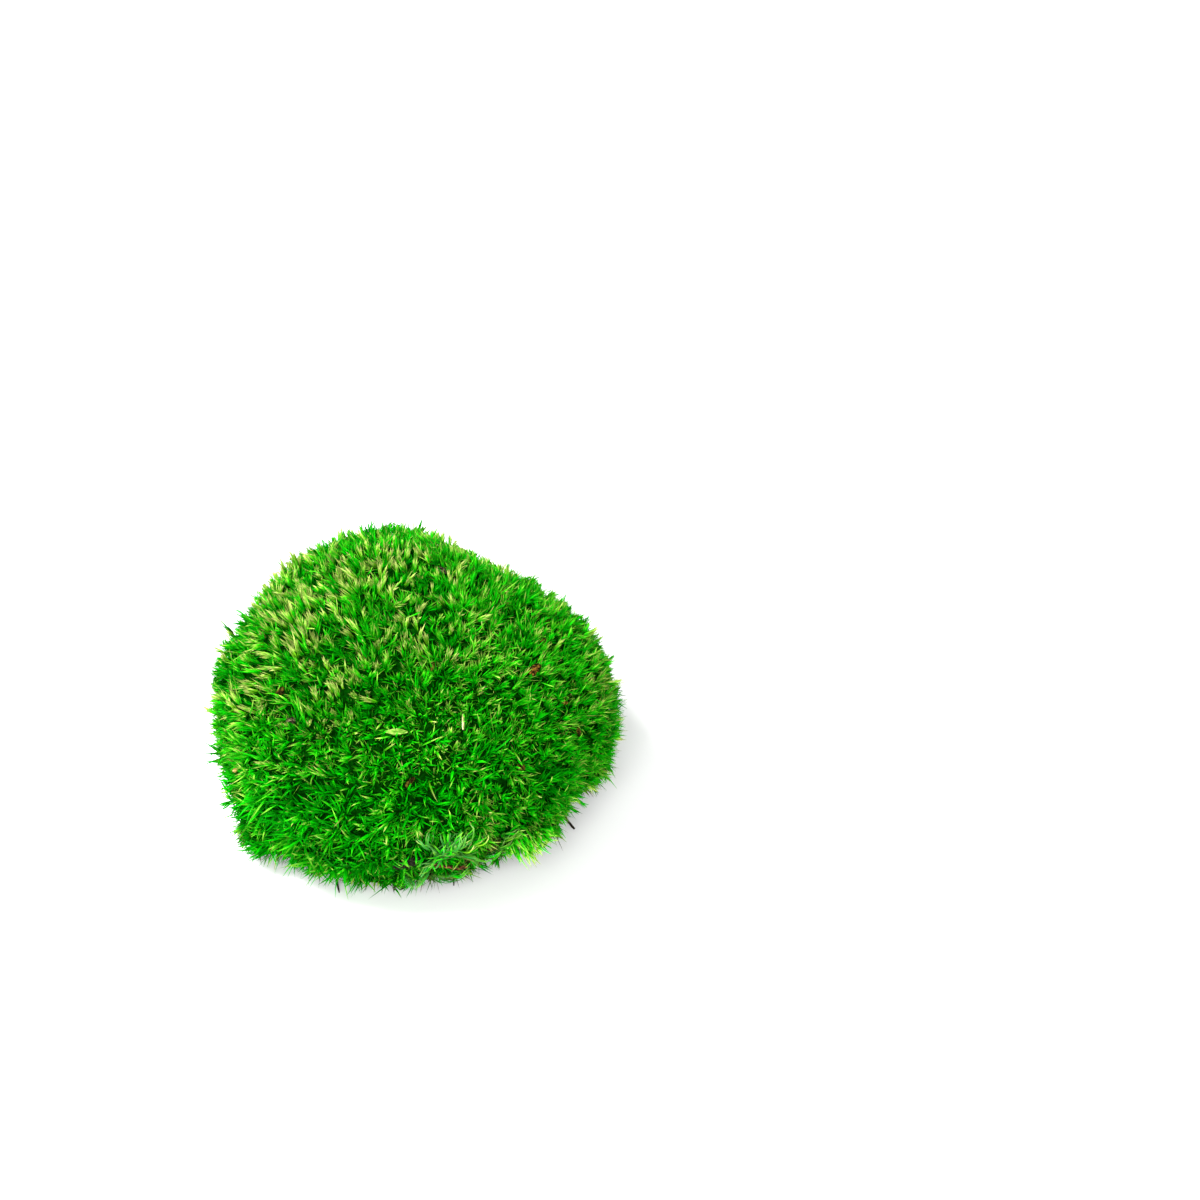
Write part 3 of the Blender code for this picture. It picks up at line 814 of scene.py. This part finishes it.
def make_leaf_material():
    material, shader, add, wire = new_material("moss_leaf")
    place = add("UVMap", {"uv_map": "OFBake"})
    over = add("SeparateXYZ", Vector=place)
    up = over.node.outputs["Y"]

    def reckon(operation, first, second=0):
        result = add("Math", {"operation": operation})
        wire(first, result.node.inputs[0])
        wire(second, result.node.inputs[1])
        return result

    columns = reckon("MULTIPLY", over, COLUMNS)
    column = reckon("FLOOR", columns)
    tone = reckon("DIVIDE", reckon("FLOOR", reckon("DIVIDE", column, 2)), TONE_STEPS - 1)
    colour, *further_up = [
        ramp(add, tone, [(index / LAST_TONE, tones[part]) for index, tones in enumerate(LEAF_TONES)])
        for part in (1, 2, 3)
    ]
    for next_colour, begin in zip(further_up, (MIDDLE_FROM, TIP_FROM)):
        share = stretch(add, up, (0, 1), begin, interpolation_type="SMOOTHSTEP")
        colour = blend(add, wire, share, colour, next_colour)

    off_rib = reckon("ABSOLUTE", reckon("SUBTRACT", reckon("FRACT", columns), 0.5))
    cells = add("TexNoise", Vector=place, Scale=220.0, Detail=3.0)
    # painted highlight: each leaf is lighter towards its edges and darker along its midrib, as if its edges
    # caught the light
    painted_edge_highlight = stretch(add, off_rib, (0.66, 1.45), (0.06, COLUMN_FILL))
    cell_light = stretch(add, cells, (0.85, 1.12), (0.3, 0.7))
    own_light = stretch(add, reckon("MODULO", column, 2), (0.70, 1.20))
    light = reckon("MULTIPLY", reckon("MULTIPLY", painted_edge_highlight, cell_light), own_light)
    wire(add("HueSaturation", Color=colour, Value=light), shader.inputs["Base Color"])
    shine_and_bumps(add, wire, shader, cells, (0.38, 0.62), 0.15, 0.1 * MM, 0.02)
    return material


leaf_material = make_leaf_material()
print("leaf palette:", ", ".join(TONE))

# %% [markdown]
# ## From blades to a mesh
# Making each leaf as an object and joining them all would take hours. The same mesh can be made straight
# from arrays: the points of all blades, their triangles, and a place in the palette for every corner.

# %% Leaf meshes
PALETTE_MARGIN = 0.01


def blades_mesh(name, *groups):
    """One mesh of several groups of blades; a group is its blades, their tones and their stations."""
    points, faces, corners, first = [], [], [], 0
    for blades, tones, stations in groups:
        count, each = blades.shape[:2]
        rings = len(stations) - 2
        pattern = blade_triangles(rings)
        numbers = (pattern[None] + each * np.arange(count)[:, None, None]).reshape(-1, 3)
        step = np.round(np.clip(tones / LAST_TONE, 0, 1) * (TONE_STEPS - 1))
        column = 2 * step + chance.integers(0, 2, count) + 0.5
        shift = np.concatenate([[0], np.tile([0, 1, -1], rings), [0]]) * COLUMN_FILL
        height = np.concatenate([[0], np.repeat(stations[1:-1], CORNERS), [1]])
        u = (column[:, None] + shift[None]) / COLUMNS
        v = np.broadcast_to(PALETTE_MARGIN + (1 - 2 * PALETTE_MARGIN) * height, u.shape)
        points.append(blades.reshape(-1, 3))
        faces.append(numbers + first)
        corners.append(np.stack([u, v], axis=2).reshape(-1, 2)[numbers.ravel()])
        first += count * each
    mesh = bpy.data.meshes.new(name)
    mesh.from_pydata(np.concatenate(points), [], np.concatenate(faces))
    layer = mesh.uv_layers.new(name="OFBake")
    layer.data.foreach_set("uv", np.concatenate(corners).ravel())
    mesh.materials.append(leaf_material)
    return mesh


def add_leaves(name, *groups):
    """Puts groups of blades in the scene as one piece of the moss."""
    add_piece(name, blades_mesh(name, *groups), "moss", "moss_cushion")


print("leaf meshes ready")

# %% [markdown]
# ## A tone for every leaf
# Most shoots are green, some lighter, and the patches bring straw, yellow, olive or painted shade. Within
# a shoot the young leaves near the top are lighter, and under the rim some have withered.

# %% Tones
TONE_SCALE = 11 * MM
LIGHTER_SHOOTS, STRAW_TIPS, STRAW_TIPS_IN_PATCH = 0.12, 0.2, 0.75  # shares of the shoots
YELLOW_IN_PATCH, OLIVE_IN_PATCH = 0.7, 0.8
ODD_LEAVES, FEWER_UNDER_PAINTED_SHADE = 0.10, 0.06  # shares of the leaves
# painted shade: the shoots in the hollows are darkened by so many tones
YOUNG_LIGHTER, PAINTED_SHADE_IN_HOLLOWS = 0.4, 0.6  # in tones


def recolour(tone, share, middle, spread):
    """Gives a share of the tones, picked by chance, new values round a middle."""
    chosen = chance.random(len(tone)) < share
    return np.where(chosen, middle + chance.normal(0, spread, len(tone)), tone)


def shoot_tones():
    """A tone for each shoot, from its kind, its patch and chance."""
    count = len(tips)
    tone = TONE["green"] + chance.normal(0, 0.4, count)
    tone += np.array([noise.noise(Vector(tip) / TONE_SCALE) for tip in tips])
    tone = recolour(tone, LIGHTER_SHOOTS, TONE["yellow green"] - 0.4, 0.4)
    straw = (kind_of_shoot == "stout") & (chance.random(count) < STRAW_TIPS + STRAW_TIPS_IN_PATCH * pale)
    tone = np.where(straw, TONE["pale straw"] - np.abs(chance.normal(0, 0.55, count)), tone)
    tone = recolour(tone, YELLOW_IN_PATCH * yellow, TONE["yellow green"] - 0.3, 0.35)
    # painted shade: darker in the hollows, and by up to a tone in the shaded patches
    tone = np.clip(tone - PAINTED_SHADE_IN_HOLLOWS * dark - deep, 0, TONE["pale straw"])
    olive = OLIVE_IN_PATCH * strength(tips, OLIVE_PATCHES)
    return recolour(tone, olive, TONE["olive"] - 0.1, 0.35)


def leaf_tones(shoot, rank):
    """A tone for each leaf: its shoot's, lighter up the stem, with chance, odd pale leaves and dead ones."""
    count = len(shoot)
    tone = tone_of_shoot[shoot] + YOUNG_LIGHTER * (rank - 0.5) + chance.normal(0, 0.45, count)
    # fewer odd pale leaves where the green is darkened as painted shade
    odd = chance.random(count) < ODD_LEAVES - FEWER_UNDER_PAINTED_SHADE * deep[shoot]
    tone = np.where(odd, chance.uniform(TONE["bright green"], TONE["pale straw"] - 0.4, count), tone)
    tone = np.clip(tone, 0, TONE["pale straw"])
    withered = chance.random(count) < np.clip(-normals[shoot, 2] * 1.8 - 0.9, 0, 0.5)
    tone = np.where(withered, TONE["olive"] + chance.uniform(-0.2, 0.8, count), tone)
    return np.where(tone_of_shoot[shoot] > TONE["sea green"], tone_of_shoot[shoot], tone)


tone_of_shoot = shoot_tones()
print("mean tone of the shoots", round(tone_of_shoot.mean(), 2))

# %% [markdown]
# ## The shoots as pieces
# More than half a million triangles in one mesh is hard to work with, so the shoots are sorted into six
# pieces by where they stand: two on the crown, and one on each side.

# %% Shoot pieces
CROWN_UPWARD = 0.86  # the crown is where the surface faces up more than this
CROWN_PARTING = -6 * MM

azimuth = np.degrees(np.arctan2(tips[:, 1], tips[:, 0])) % 360
on_crown = normals[:, 2] > CROWN_UPWARD
SECTORS = {
    "shoots_crown_left": on_crown & (tips[:, 0] < CROWN_PARTING),
    "shoots_crown_right": on_crown & (tips[:, 0] >= CROWN_PARTING),
    "shoots_right": ~on_crown & ((azimuth < 45) | (azimuth >= 315)),
    "shoots_back": ~on_crown & (azimuth >= 45) & (azimuth < 135),
    "shoots_left": ~on_crown & (azimuth >= 135) & (azimuth < 225),
    "shoots_front": ~on_crown & (azimuth >= 225) & (azimuth < 315),
}
for name, chosen in SECTORS.items():
    groups = []
    for blades, shoot, rank, stations in leaves.values():
        mine = chosen[shoot]
        groups.append((blades[mine], leaf_tones(shoot[mine], rank[mine]), stations))
    add_leaves(name, *groups)

# %% [markdown]
# ## Matted strands
# Low on the front the moss was pressed, and its shoots have grown into long strands that lie on the clump
# and sweep over the strip of bark. Each lock of strands follows a line of pixels. Every strand takes a
# short stretch of it, off to one side, a little askew and with its own wave, so the lock looks combed by
# the weather and not drawn with a ruler.

# %% Matted strands
LOCKS = (  # strands, half width in mm, middle tone, waviness, and the pixels that the lock passes
    (11, 0.9, 5.0, 1.0, (441, 856), (434, 849), (428, 842), (424, 834)),
    (14, 1.1, 4.9, 1.0, (440, 855), (442, 848), (446, 841), (449, 832)),
    (15, 1.3, 5.0, 1.0, (442, 854), (449, 847), (456, 839), (461, 829)),
    (15, 1.4, 4.7, 1.0, (450, 852), (459, 845), (468, 837), (477, 828)),
    (12, 1.3, 4.5, 1.0, (456, 851), (466, 847), (476, 840), (487, 833)),
    (16, 1.4, 4.9, 1.0, (444, 853), (457, 852), (469, 855), (478, 864)),
    (19, 1.3, 5.1, 1.0, (428, 858), (438, 850), (450, 849), (460, 854)),
    (22, 1.5, 5.0, 1.0, (448, 850), (437, 857), (426, 864), (418, 874)),
    (18, 1.4, 5.3, 1.0, (430, 872), (443, 875), (456, 874), (468, 870)),
    (15, 1.6, 4.9, 1.0, (478, 856), (490, 852), (502, 847), (514, 842)),
    (22, 2.0, 4.6, 0.35, (497, 848), (507, 841), (516, 836), (527, 838)),
    (16, 1.7, 4.5, 0.35, (500, 839), (508, 833), (517, 829), (526, 831)),
)
STRAND_WIDTH = 0.66 * MM
STRAND_ASKEW, STRAND_WAVE = 2.25 * MM, 0.65 * MM
STRAND_START, STRAND_STRETCH = (-0.05, 0.55), (0.4, 0.75)  # shares of the lock's line
STRAND_RISE, STRAND_ARCH = (-0.1, 1.2), (0.2, 2.0)  # in mm, above the cushion
WAVE_TURNS, WAVE_STARTS = (3, 7), (0, 6.3)  # in radians
GREEN_STRANDS = 0.25


def strand_paths(count, half_width, waviness, pixels):
    """Paths of the strands in one lock, and the side of each that faces outward."""
    line = np.array([seen_at(x, y) for x, y in pixels])
    starts = chance.uniform(*STRAND_START, (count, 1))
    shares = starts + chance.uniform(*STRAND_STRETCH, (count, 1)) * LONG_STATIONS
    line_shares = np.linspace(0, 1, len(line))
    paths = np.stack([np.interp(shares, line_shares, line[:, axis]) for axis in range(3)], axis=2)
    outward = unit(np.array([cushion_tree.find_nearest(Vector(path[4]))[1] for path in paths]))
    aside = unit(np.cross(unit(paths[:, -1] - paths[:, 0]), outward))
    drift = chance.uniform(-1, 1, (count, 1)) * half_width * MM
    drift = drift + chance.normal(0, STRAND_ASKEW, (count, 1)) * (LONG_STATIONS - 0.3)
    turns = LONG_STATIONS * chance.uniform(*WAVE_TURNS, (count, 1))
    drift += np.sin(turns + chance.uniform(*WAVE_STARTS, (count, 1))) * STRAND_WAVE * waviness
    rise = chance.uniform(*STRAND_RISE, (count, 1)) * MM
    rise = rise + chance.uniform(*STRAND_ARCH, (count, 1)) * MM * np.sin(math.pi * LONG_STATIONS)
    return paths + aside[:, None] * drift[:, :, None] + outward[:, None] * rise[:, :, None], outward


locks = []
for count, half_width, tone, waviness, *pixels in LOCKS:
    paths, outward = strand_paths(count, half_width, waviness, pixels)
    strands = blade_points(paths, outward, STRAND_WIDTH * varied(0.2, count), LONG_STATIONS)
    greener = chance.random(count) < GREEN_STRANDS
    tones = np.where(greener, TONE["bright green"], tone) + chance.normal(0, 0.3, count)
    locks.append((strands, tones, LONG_STATIONS))
add_leaves("matted_strands", *locks)

# %% [markdown]
# ## Tufts that hang free
# At the lower right a yellow-green lobe hangs clear of the rim, and low on the front two tufts cross in a
# vee. No surface is there to grow them on. So each tuft has a pixel where it leaves the cushion, one where
# its tips end, and how much further from the camera they end. Its leaves fan out between.

# %% Hanging tufts
HANGING_TUFTS = (  # leaves, tone, pixels where it starts and ends, spread and how much further off, in mm
    (13, 2.7, (511, 838), (521, 864), 1.3, -1.5),
    (15, 3.0, (516, 838), (531, 867), 1.4, -1.5),
    (16, 3.2, (521, 838), (537, 865), 1.5, -1.5),
    (17, 3.3, (525, 837), (543, 860), 1.6, -1.5),
    (17, 3.2, (529, 834), (549, 853), 1.7, -1.5),
    (16, 3.0, (533, 831), (555, 845), 1.7, -1.5),
    (14, 2.8, (536, 827), (559, 837), 1.6, -1.5),
    (16, 3.0, (514, 834), (529, 855), 2.2, -1.5),
    (16, 3.1, (522, 832), (537, 852), 2.2, -1.5),
    (16, 3.0, (529, 829), (545, 844), 2.2, -1.5),
    (12, 2.6, (508, 843), (513, 857), 1.2, -1.5),
    (14, 5.2, (404, 870), (414.5, 891), 0.5, 8),
    (15, 5.2, (430, 864), (414.5, 890.5), 0.5, 13),
)
HANGING_WIDTH = 0.48 * MM
HANGING_LENGTH_SPREAD = 0.16
HANGING_BOW, BOW_SPREAD = 0.8 * MM, 0.5 * MM
HANGING_START = (0, 0.5)  # shares of the way, where leaves start
HANGING_GREENER, GREENER_BY = 0.35, 1.5  # a share of the leaves, and tones


def arched_paths(feet, runs, bows, stations):
    """A path along each run that bows out between its ends."""
    arch = np.sin(math.pi * stations)[None, :, None]
    return feet[:, None] + runs[:, None] * stations[None, :, None] + bows[:, None] * arch


tufts = []
for count, tone, start, end, spread, further in HANGING_TUFTS:
    root = seen_at(*start)
    away = (root - camera.location).length + further * MM
    reach = np.array(camera.location + sight_line(*end) * away)
    roots = np.array(root) + chance.normal(0, 0.3 + 0.6 * spread, (count, 3)) * MM
    ends = reach + chance.normal(0, spread * 0.6, (count, 3)) * MM
    shorter = 1 - np.abs(chance.normal(0, HANGING_LENGTH_SPREAD * spread, (count, 1)))
    feet = roots + (ends - roots) * chance.uniform(*HANGING_START, (count, 1))
    runs = roots + (ends - roots) * shorter - feet
    bows = chance.normal(0, BOW_SPREAD, (count, 3)) + np.array(to_camera) * HANGING_BOW
    paths = arched_paths(feet, runs, bows, LONG_STATIONS)
    facing = unit(np.cross(np.cross(runs, np.array(to_camera)), runs))
    tuft = blade_points(paths, facing, HANGING_WIDTH * varied(0.15, count), LONG_STATIONS)
    greener = (chance.random(count) < HANGING_GREENER) & (tone < TONE["pale straw"])
    tones = tone - GREENER_BY * greener + chance.normal(0, 0.4 * min(spread, 1), count)
    tufts.append((tuft, tones, LONG_STATIONS))
add_leaves("hanging_tufts", *tufts)

# %% [markdown]
# ## Stray leaves
# Here and there a leaf has come loose and lies across the others at an odd angle. A couple of hundred,
# long and pale, break up the combed look.

# %% Stray leaves
STRAY_COUNT = 230
STRAY_LENGTH, STRAY_WIDTH, STRAY_SINK = 5.2 * MM, 0.5 * MM, 0.3 * MM
STRAY_TONES, STRAY_DOWNWARD = (2.8, 0.6), -0.1


def loose_blades(feet, runs, backs, length, width, bend, uneven, stations, behind=0):
    """Leaves that lie loose, each bent its own way, with a share of their length behind their feet."""
    lengths = length * varied(0.25, len(feet))
    bends = chance.normal(0, bend, feet.shape)
    paths = bent_paths(feet - behind * lengths[:, None] * runs, runs, lengths, bends, stations)
    return blade_points(paths, backs, width * varied(uneven, len(feet)), stations)


spots, ways_out = scatter(STRAY_COUNT * 2)
above = np.flatnonzero(ways_out[:, 2] > STRAY_DOWNWARD)[:STRAY_COUNT]
spots, ways_out = spots[above], ways_out[above]
runs = unit(chance.normal(0, 0.8, spots.shape) + 0.8 * unit(spots - np.array(GROWTH_CENTRE)))
backs = unit(np.cross(np.cross(runs, ways_out), runs))
feet = spots - ways_out * STRAY_SINK
strays = loose_blades(feet, runs, backs, STRAY_LENGTH, STRAY_WIDTH, 0.2, 0.15, LONG_STATIONS, 0.5)
strays = strays[~runs_through_litter(strays)]
stray_tones = np.clip(chance.normal(*STRAY_TONES, len(strays)), 1.5, 4.2)
add_leaves("stray_leaves", (strays, stray_tones, LONG_STATIONS))

# %% [markdown]
# ## Leaves across the litter
# Litter that has lain a while isn't on top of the moss: leaves beside it have grown over its edge. Each of
# these starts next to a bit of litter, a little below it, and ends above it.

# %% Leaves across the litter
ACROSS = {"soil_crumb": 24, "bark_strip_worn": 12, "dry_bract": 6, "dry_straw": 2, "papery_scale": 2}
ACROSS_OTHERS = 3
ACROSS_WIDTH, ACROSS_BOW, ACROSS_DEPTH = 0.6 * MM, 0.7 * MM, 1.5 * MM
ACROSS_LOWEST = 6 * MM  # nothing grows across the rootlets on the ground


def blades_across(cloud, count):
    """Leaves that reach from beside a bit of litter to above it."""
    middle = cloud.mean(axis=0)
    outward = unit(np.array(cushion_tree.find_nearest(Vector(middle))[1])[None])
    first, second = across_pair(outward)
    turn = chance.uniform(0, 2 * math.pi, (count, 1))
    beside = np.cos(turn) * first + np.sin(turn) * second
    half = np.abs((cloud - middle) @ beside.T).max(axis=0)[:, None]
    top = ((cloud - middle) @ outward[0]).max()
    roots = middle + beside * (half + chance.uniform(0.6, 1.8, (count, 1)) * MM) - outward * ACROSS_DEPTH
    shift = chance.normal(0, 0.3, (count, 1)) * half * np.cross(beside, outward)
    ends = middle + beside * half * chance.uniform(-0.3, 0.7, (count, 1)) + shift
    ends = ends + outward * (top + chance.uniform(0.4, 1.3, (count, 1)) * MM)
    paths = arched_paths(roots, ends - roots, outward * ACROSS_BOW, BROAD_STATIONS)
    widths = ACROSS_WIDTH * varied(0.15, count)
    return blade_points(paths, np.repeat(outward, count, axis=0), widths, BROAD_STATIONS)


across = [blades_across(cloud, ACROSS.get(name, ACROSS_OTHERS)) for name, cloud in litter_clouds.items()]
across = np.concatenate(across)
across = across[across[:, -1, 2] > ACROSS_LOWEST]
across = across[~runs_through_litter(across)]
across_tones = np.clip(chance.normal(1.6, 0.7, len(across)), 0.3, 3.6)
add_leaves("leaves_across_litter", (across, across_tones, BROAD_STATIONS))

# %% [markdown]
# ## The mat below the leaves
# Between the shoots you look down on a mat of stems and old leaves, coloured near black: partly their own
# dark colour, partly painted shade deep among the shoots. It is the smoothed cushion drawn in by about
# half a shoot, more under the rosettes and less under the rim and where the edge is thinly grown, and
# roughened by noise. So no gap shows the inside.

# %% Mat
MAT_DEPTH, ROSETTE_MAT_DEPTH, SPARSE_MAT_DEPTH = 3.9 * MM, 2.3 * MM, -1.5 * MM
SPARSE_PATCHES = patches_at((304, 572, 9), (262, 605, 7), (596, 672, 7))
MAT_ROUGHNESS, MAT_GRAIN = 0.9 * MM, 1.6 * MM
# near black: the stems' own dark colour, darkened further as painted shade between the shoots
MAT_COLOURS = [(0.35, (0.4, 10, 0.2)), (0.7, (1, 46, 0.5))]

mat_material, shader, add, wire = new_material("moss_mat")
tangle = add("TexNoise", Vector=add("TexCoord", out="Object"), Scale=900.0, Detail=4.0)
wire(ramp(add, tangle, MAT_COLOURS), shader.inputs["Base Color"])
shine_and_bumps(add, wire, shader, tangle, (0.8, 1.0), 0.6, 0.6 * MM, 0)

depths = MAT_DEPTH + ROSETTE_MAT_DEPTH * strength(corner_points, ROSETTE_PATCHES)
depths += SPARSE_MAT_DEPTH * strength(corner_points, SPARSE_PATCHES)
depths *= 1 - 0.75 * np.clip(-corner_normals[:, 2], 0, 1)
mat = smooth_cushion.copy()
move_points(mat, corner_points - corner_normals * depths[:, None])
bmesh.ops.subdivide_edges(mat, edges=mat.edges, cuts=1, use_grid_fill=True)
mat.normal_update()
for vertex in mat.verts:
    vertex.co += vertex.normal * MAT_ROUGHNESS * noise.noise(vertex.co / MAT_GRAIN)
add_piece("moss_mat", finished_mesh("moss_mat", mat, mat_material), "moss", "moss_cushion")

# %% [markdown]
# ## Old leaves under the rim
# Under the rim no light reaches the moss, and its leaves have gone olive and brown. They hang loosely over
# the cake, out of sight from above: blades like the others, only duller, shorter and less orderly.

# %% Old leaves
OLD_LEAVES = 1500
OLD_LEAF_LENGTH, OLD_LEAF_WIDTH, OLD_LEAF_DEPTH = 4.0 * MM, 0.75 * MM, 1.5 * MM
UNDERSIDE_TOP, UNDERSIDE_DOWNWARD = 16 * MM, -0.55

spots, ways_out = scatter(OLD_LEAVES * 10)
faces_down = ways_out[:, 2] < UNDERSIDE_DOWNWARD
below = np.flatnonzero(faces_down & (spots[:, 2] < UNDERSIDE_TOP))[:OLD_LEAVES]
spots, ways_out = spots[below], ways_out[below]
level = unit(spots * (1, 1, 0))
runs = unit(0.15 * level + 0.7 * ways_out + chance.normal(0, 0.4, spots.shape))
backs, _ = across_pair(runs)
feet = spots - ways_out * OLD_LEAF_DEPTH
old_leaves = loose_blades(feet, runs, backs, OLD_LEAF_LENGTH, OLD_LEAF_WIDTH, 0.15, 0.2, FINE_STATIONS)
old_tones = chance.uniform(TONE["olive"] - 0.3, TONE["brown"], len(old_leaves))
add_leaves("old_leaves", (old_leaves, old_tones, FINE_STATIONS))

# %% [markdown]
# ## The cake of humus
# The clump was lifted with a knife, so its base is cut flat: dark crumbs, and the ends of cut stems. Its
# side is looser. The crumbs are noise in the shape, pressed inward only on the cut, so that the clump still
# rests flat. The stem ends are too small to model, so they are pale cells in the material.

# %% Humus cake
CRUMB_HEIGHT, CRUMB_SCALE = 1.3 * MM, 2.2 * MM
CUT_LEVEL, SIDE_CLEARANCE = 0.2 * MM, 0.05 * MM  # the cut is below the one, and the side above the other
LONGEST_EDGE = 1.8 * MM
SOIL_COLOURS = [(0.3, (4, 3, 2)), (0.55, (26, 16, 9)), (0.75, (70, 45, 20))]
STEM_COLOUR = (0.11, 0.07, 0.025, 1)

humus_material, shader, add, wire = new_material("humus")
where = add("TexCoord", out="Object")
crumbs = add("TexNoise", Vector=where, Scale=420.0, Detail=6.0, Roughness=0.7)
is_stem = stretch(add, add("TexVoronoi", Vector=where, Scale=330.0), (1, 0), (0.1, 0.22))
soil = blend(add, wire, is_stem, ramp(add, crumbs, SOIL_COLOURS), STEM_COLOUR)
wire(soil, shader.inputs["Base Color"])
shine_and_bumps(add, wire, shader, crumbs, (0.85, 1.0), 0.8, 1.0 * MM, 0.15)

cake = open_solid("humus_cake")
bmesh.ops.triangulate(cake, faces=cake.faces)
for _ in range(3):
    long_edges = [edge for edge in cake.edges if edge.calc_length() > LONGEST_EDGE]
    bmesh.ops.subdivide_edges(cake, edges=long_edges, cuts=1)
    bmesh.ops.triangulate(cake, faces=cake.faces)
cake.normal_update()
for vertex in cake.verts:
    push = CRUMB_HEIGHT * noise.fractal(vertex.co / CRUMB_SCALE, 1.0, 2.0, 4)
    if vertex.co.z < CUT_LEVEL:
        vertex.co.z += max(0.0, 0.4 * push)
    else:
        vertex.co += vertex.normal * push
        vertex.co.z = max(vertex.co.z, SIDE_CLEARANCE)
add_piece("cut_humus", finished_mesh("cut_humus", cake, humus_material), "humus", "humus_cake")

# %% [markdown]
# ## Sizes, and the end
# Moss is soft, so its leaf tips may pass the frame's box a little. How far they stray past it on each
# axis is printed.

# %% Sizes, and the end
seen_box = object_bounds()
stray = [
    round(max(cad_box[0][side] - seen_box[0][side], seen_box[1][side] - cad_box[1][side]) / MM, 1)
    for side in range(3)
]
print("leaf tips stray past the frame's box by up to", stray, "mm")
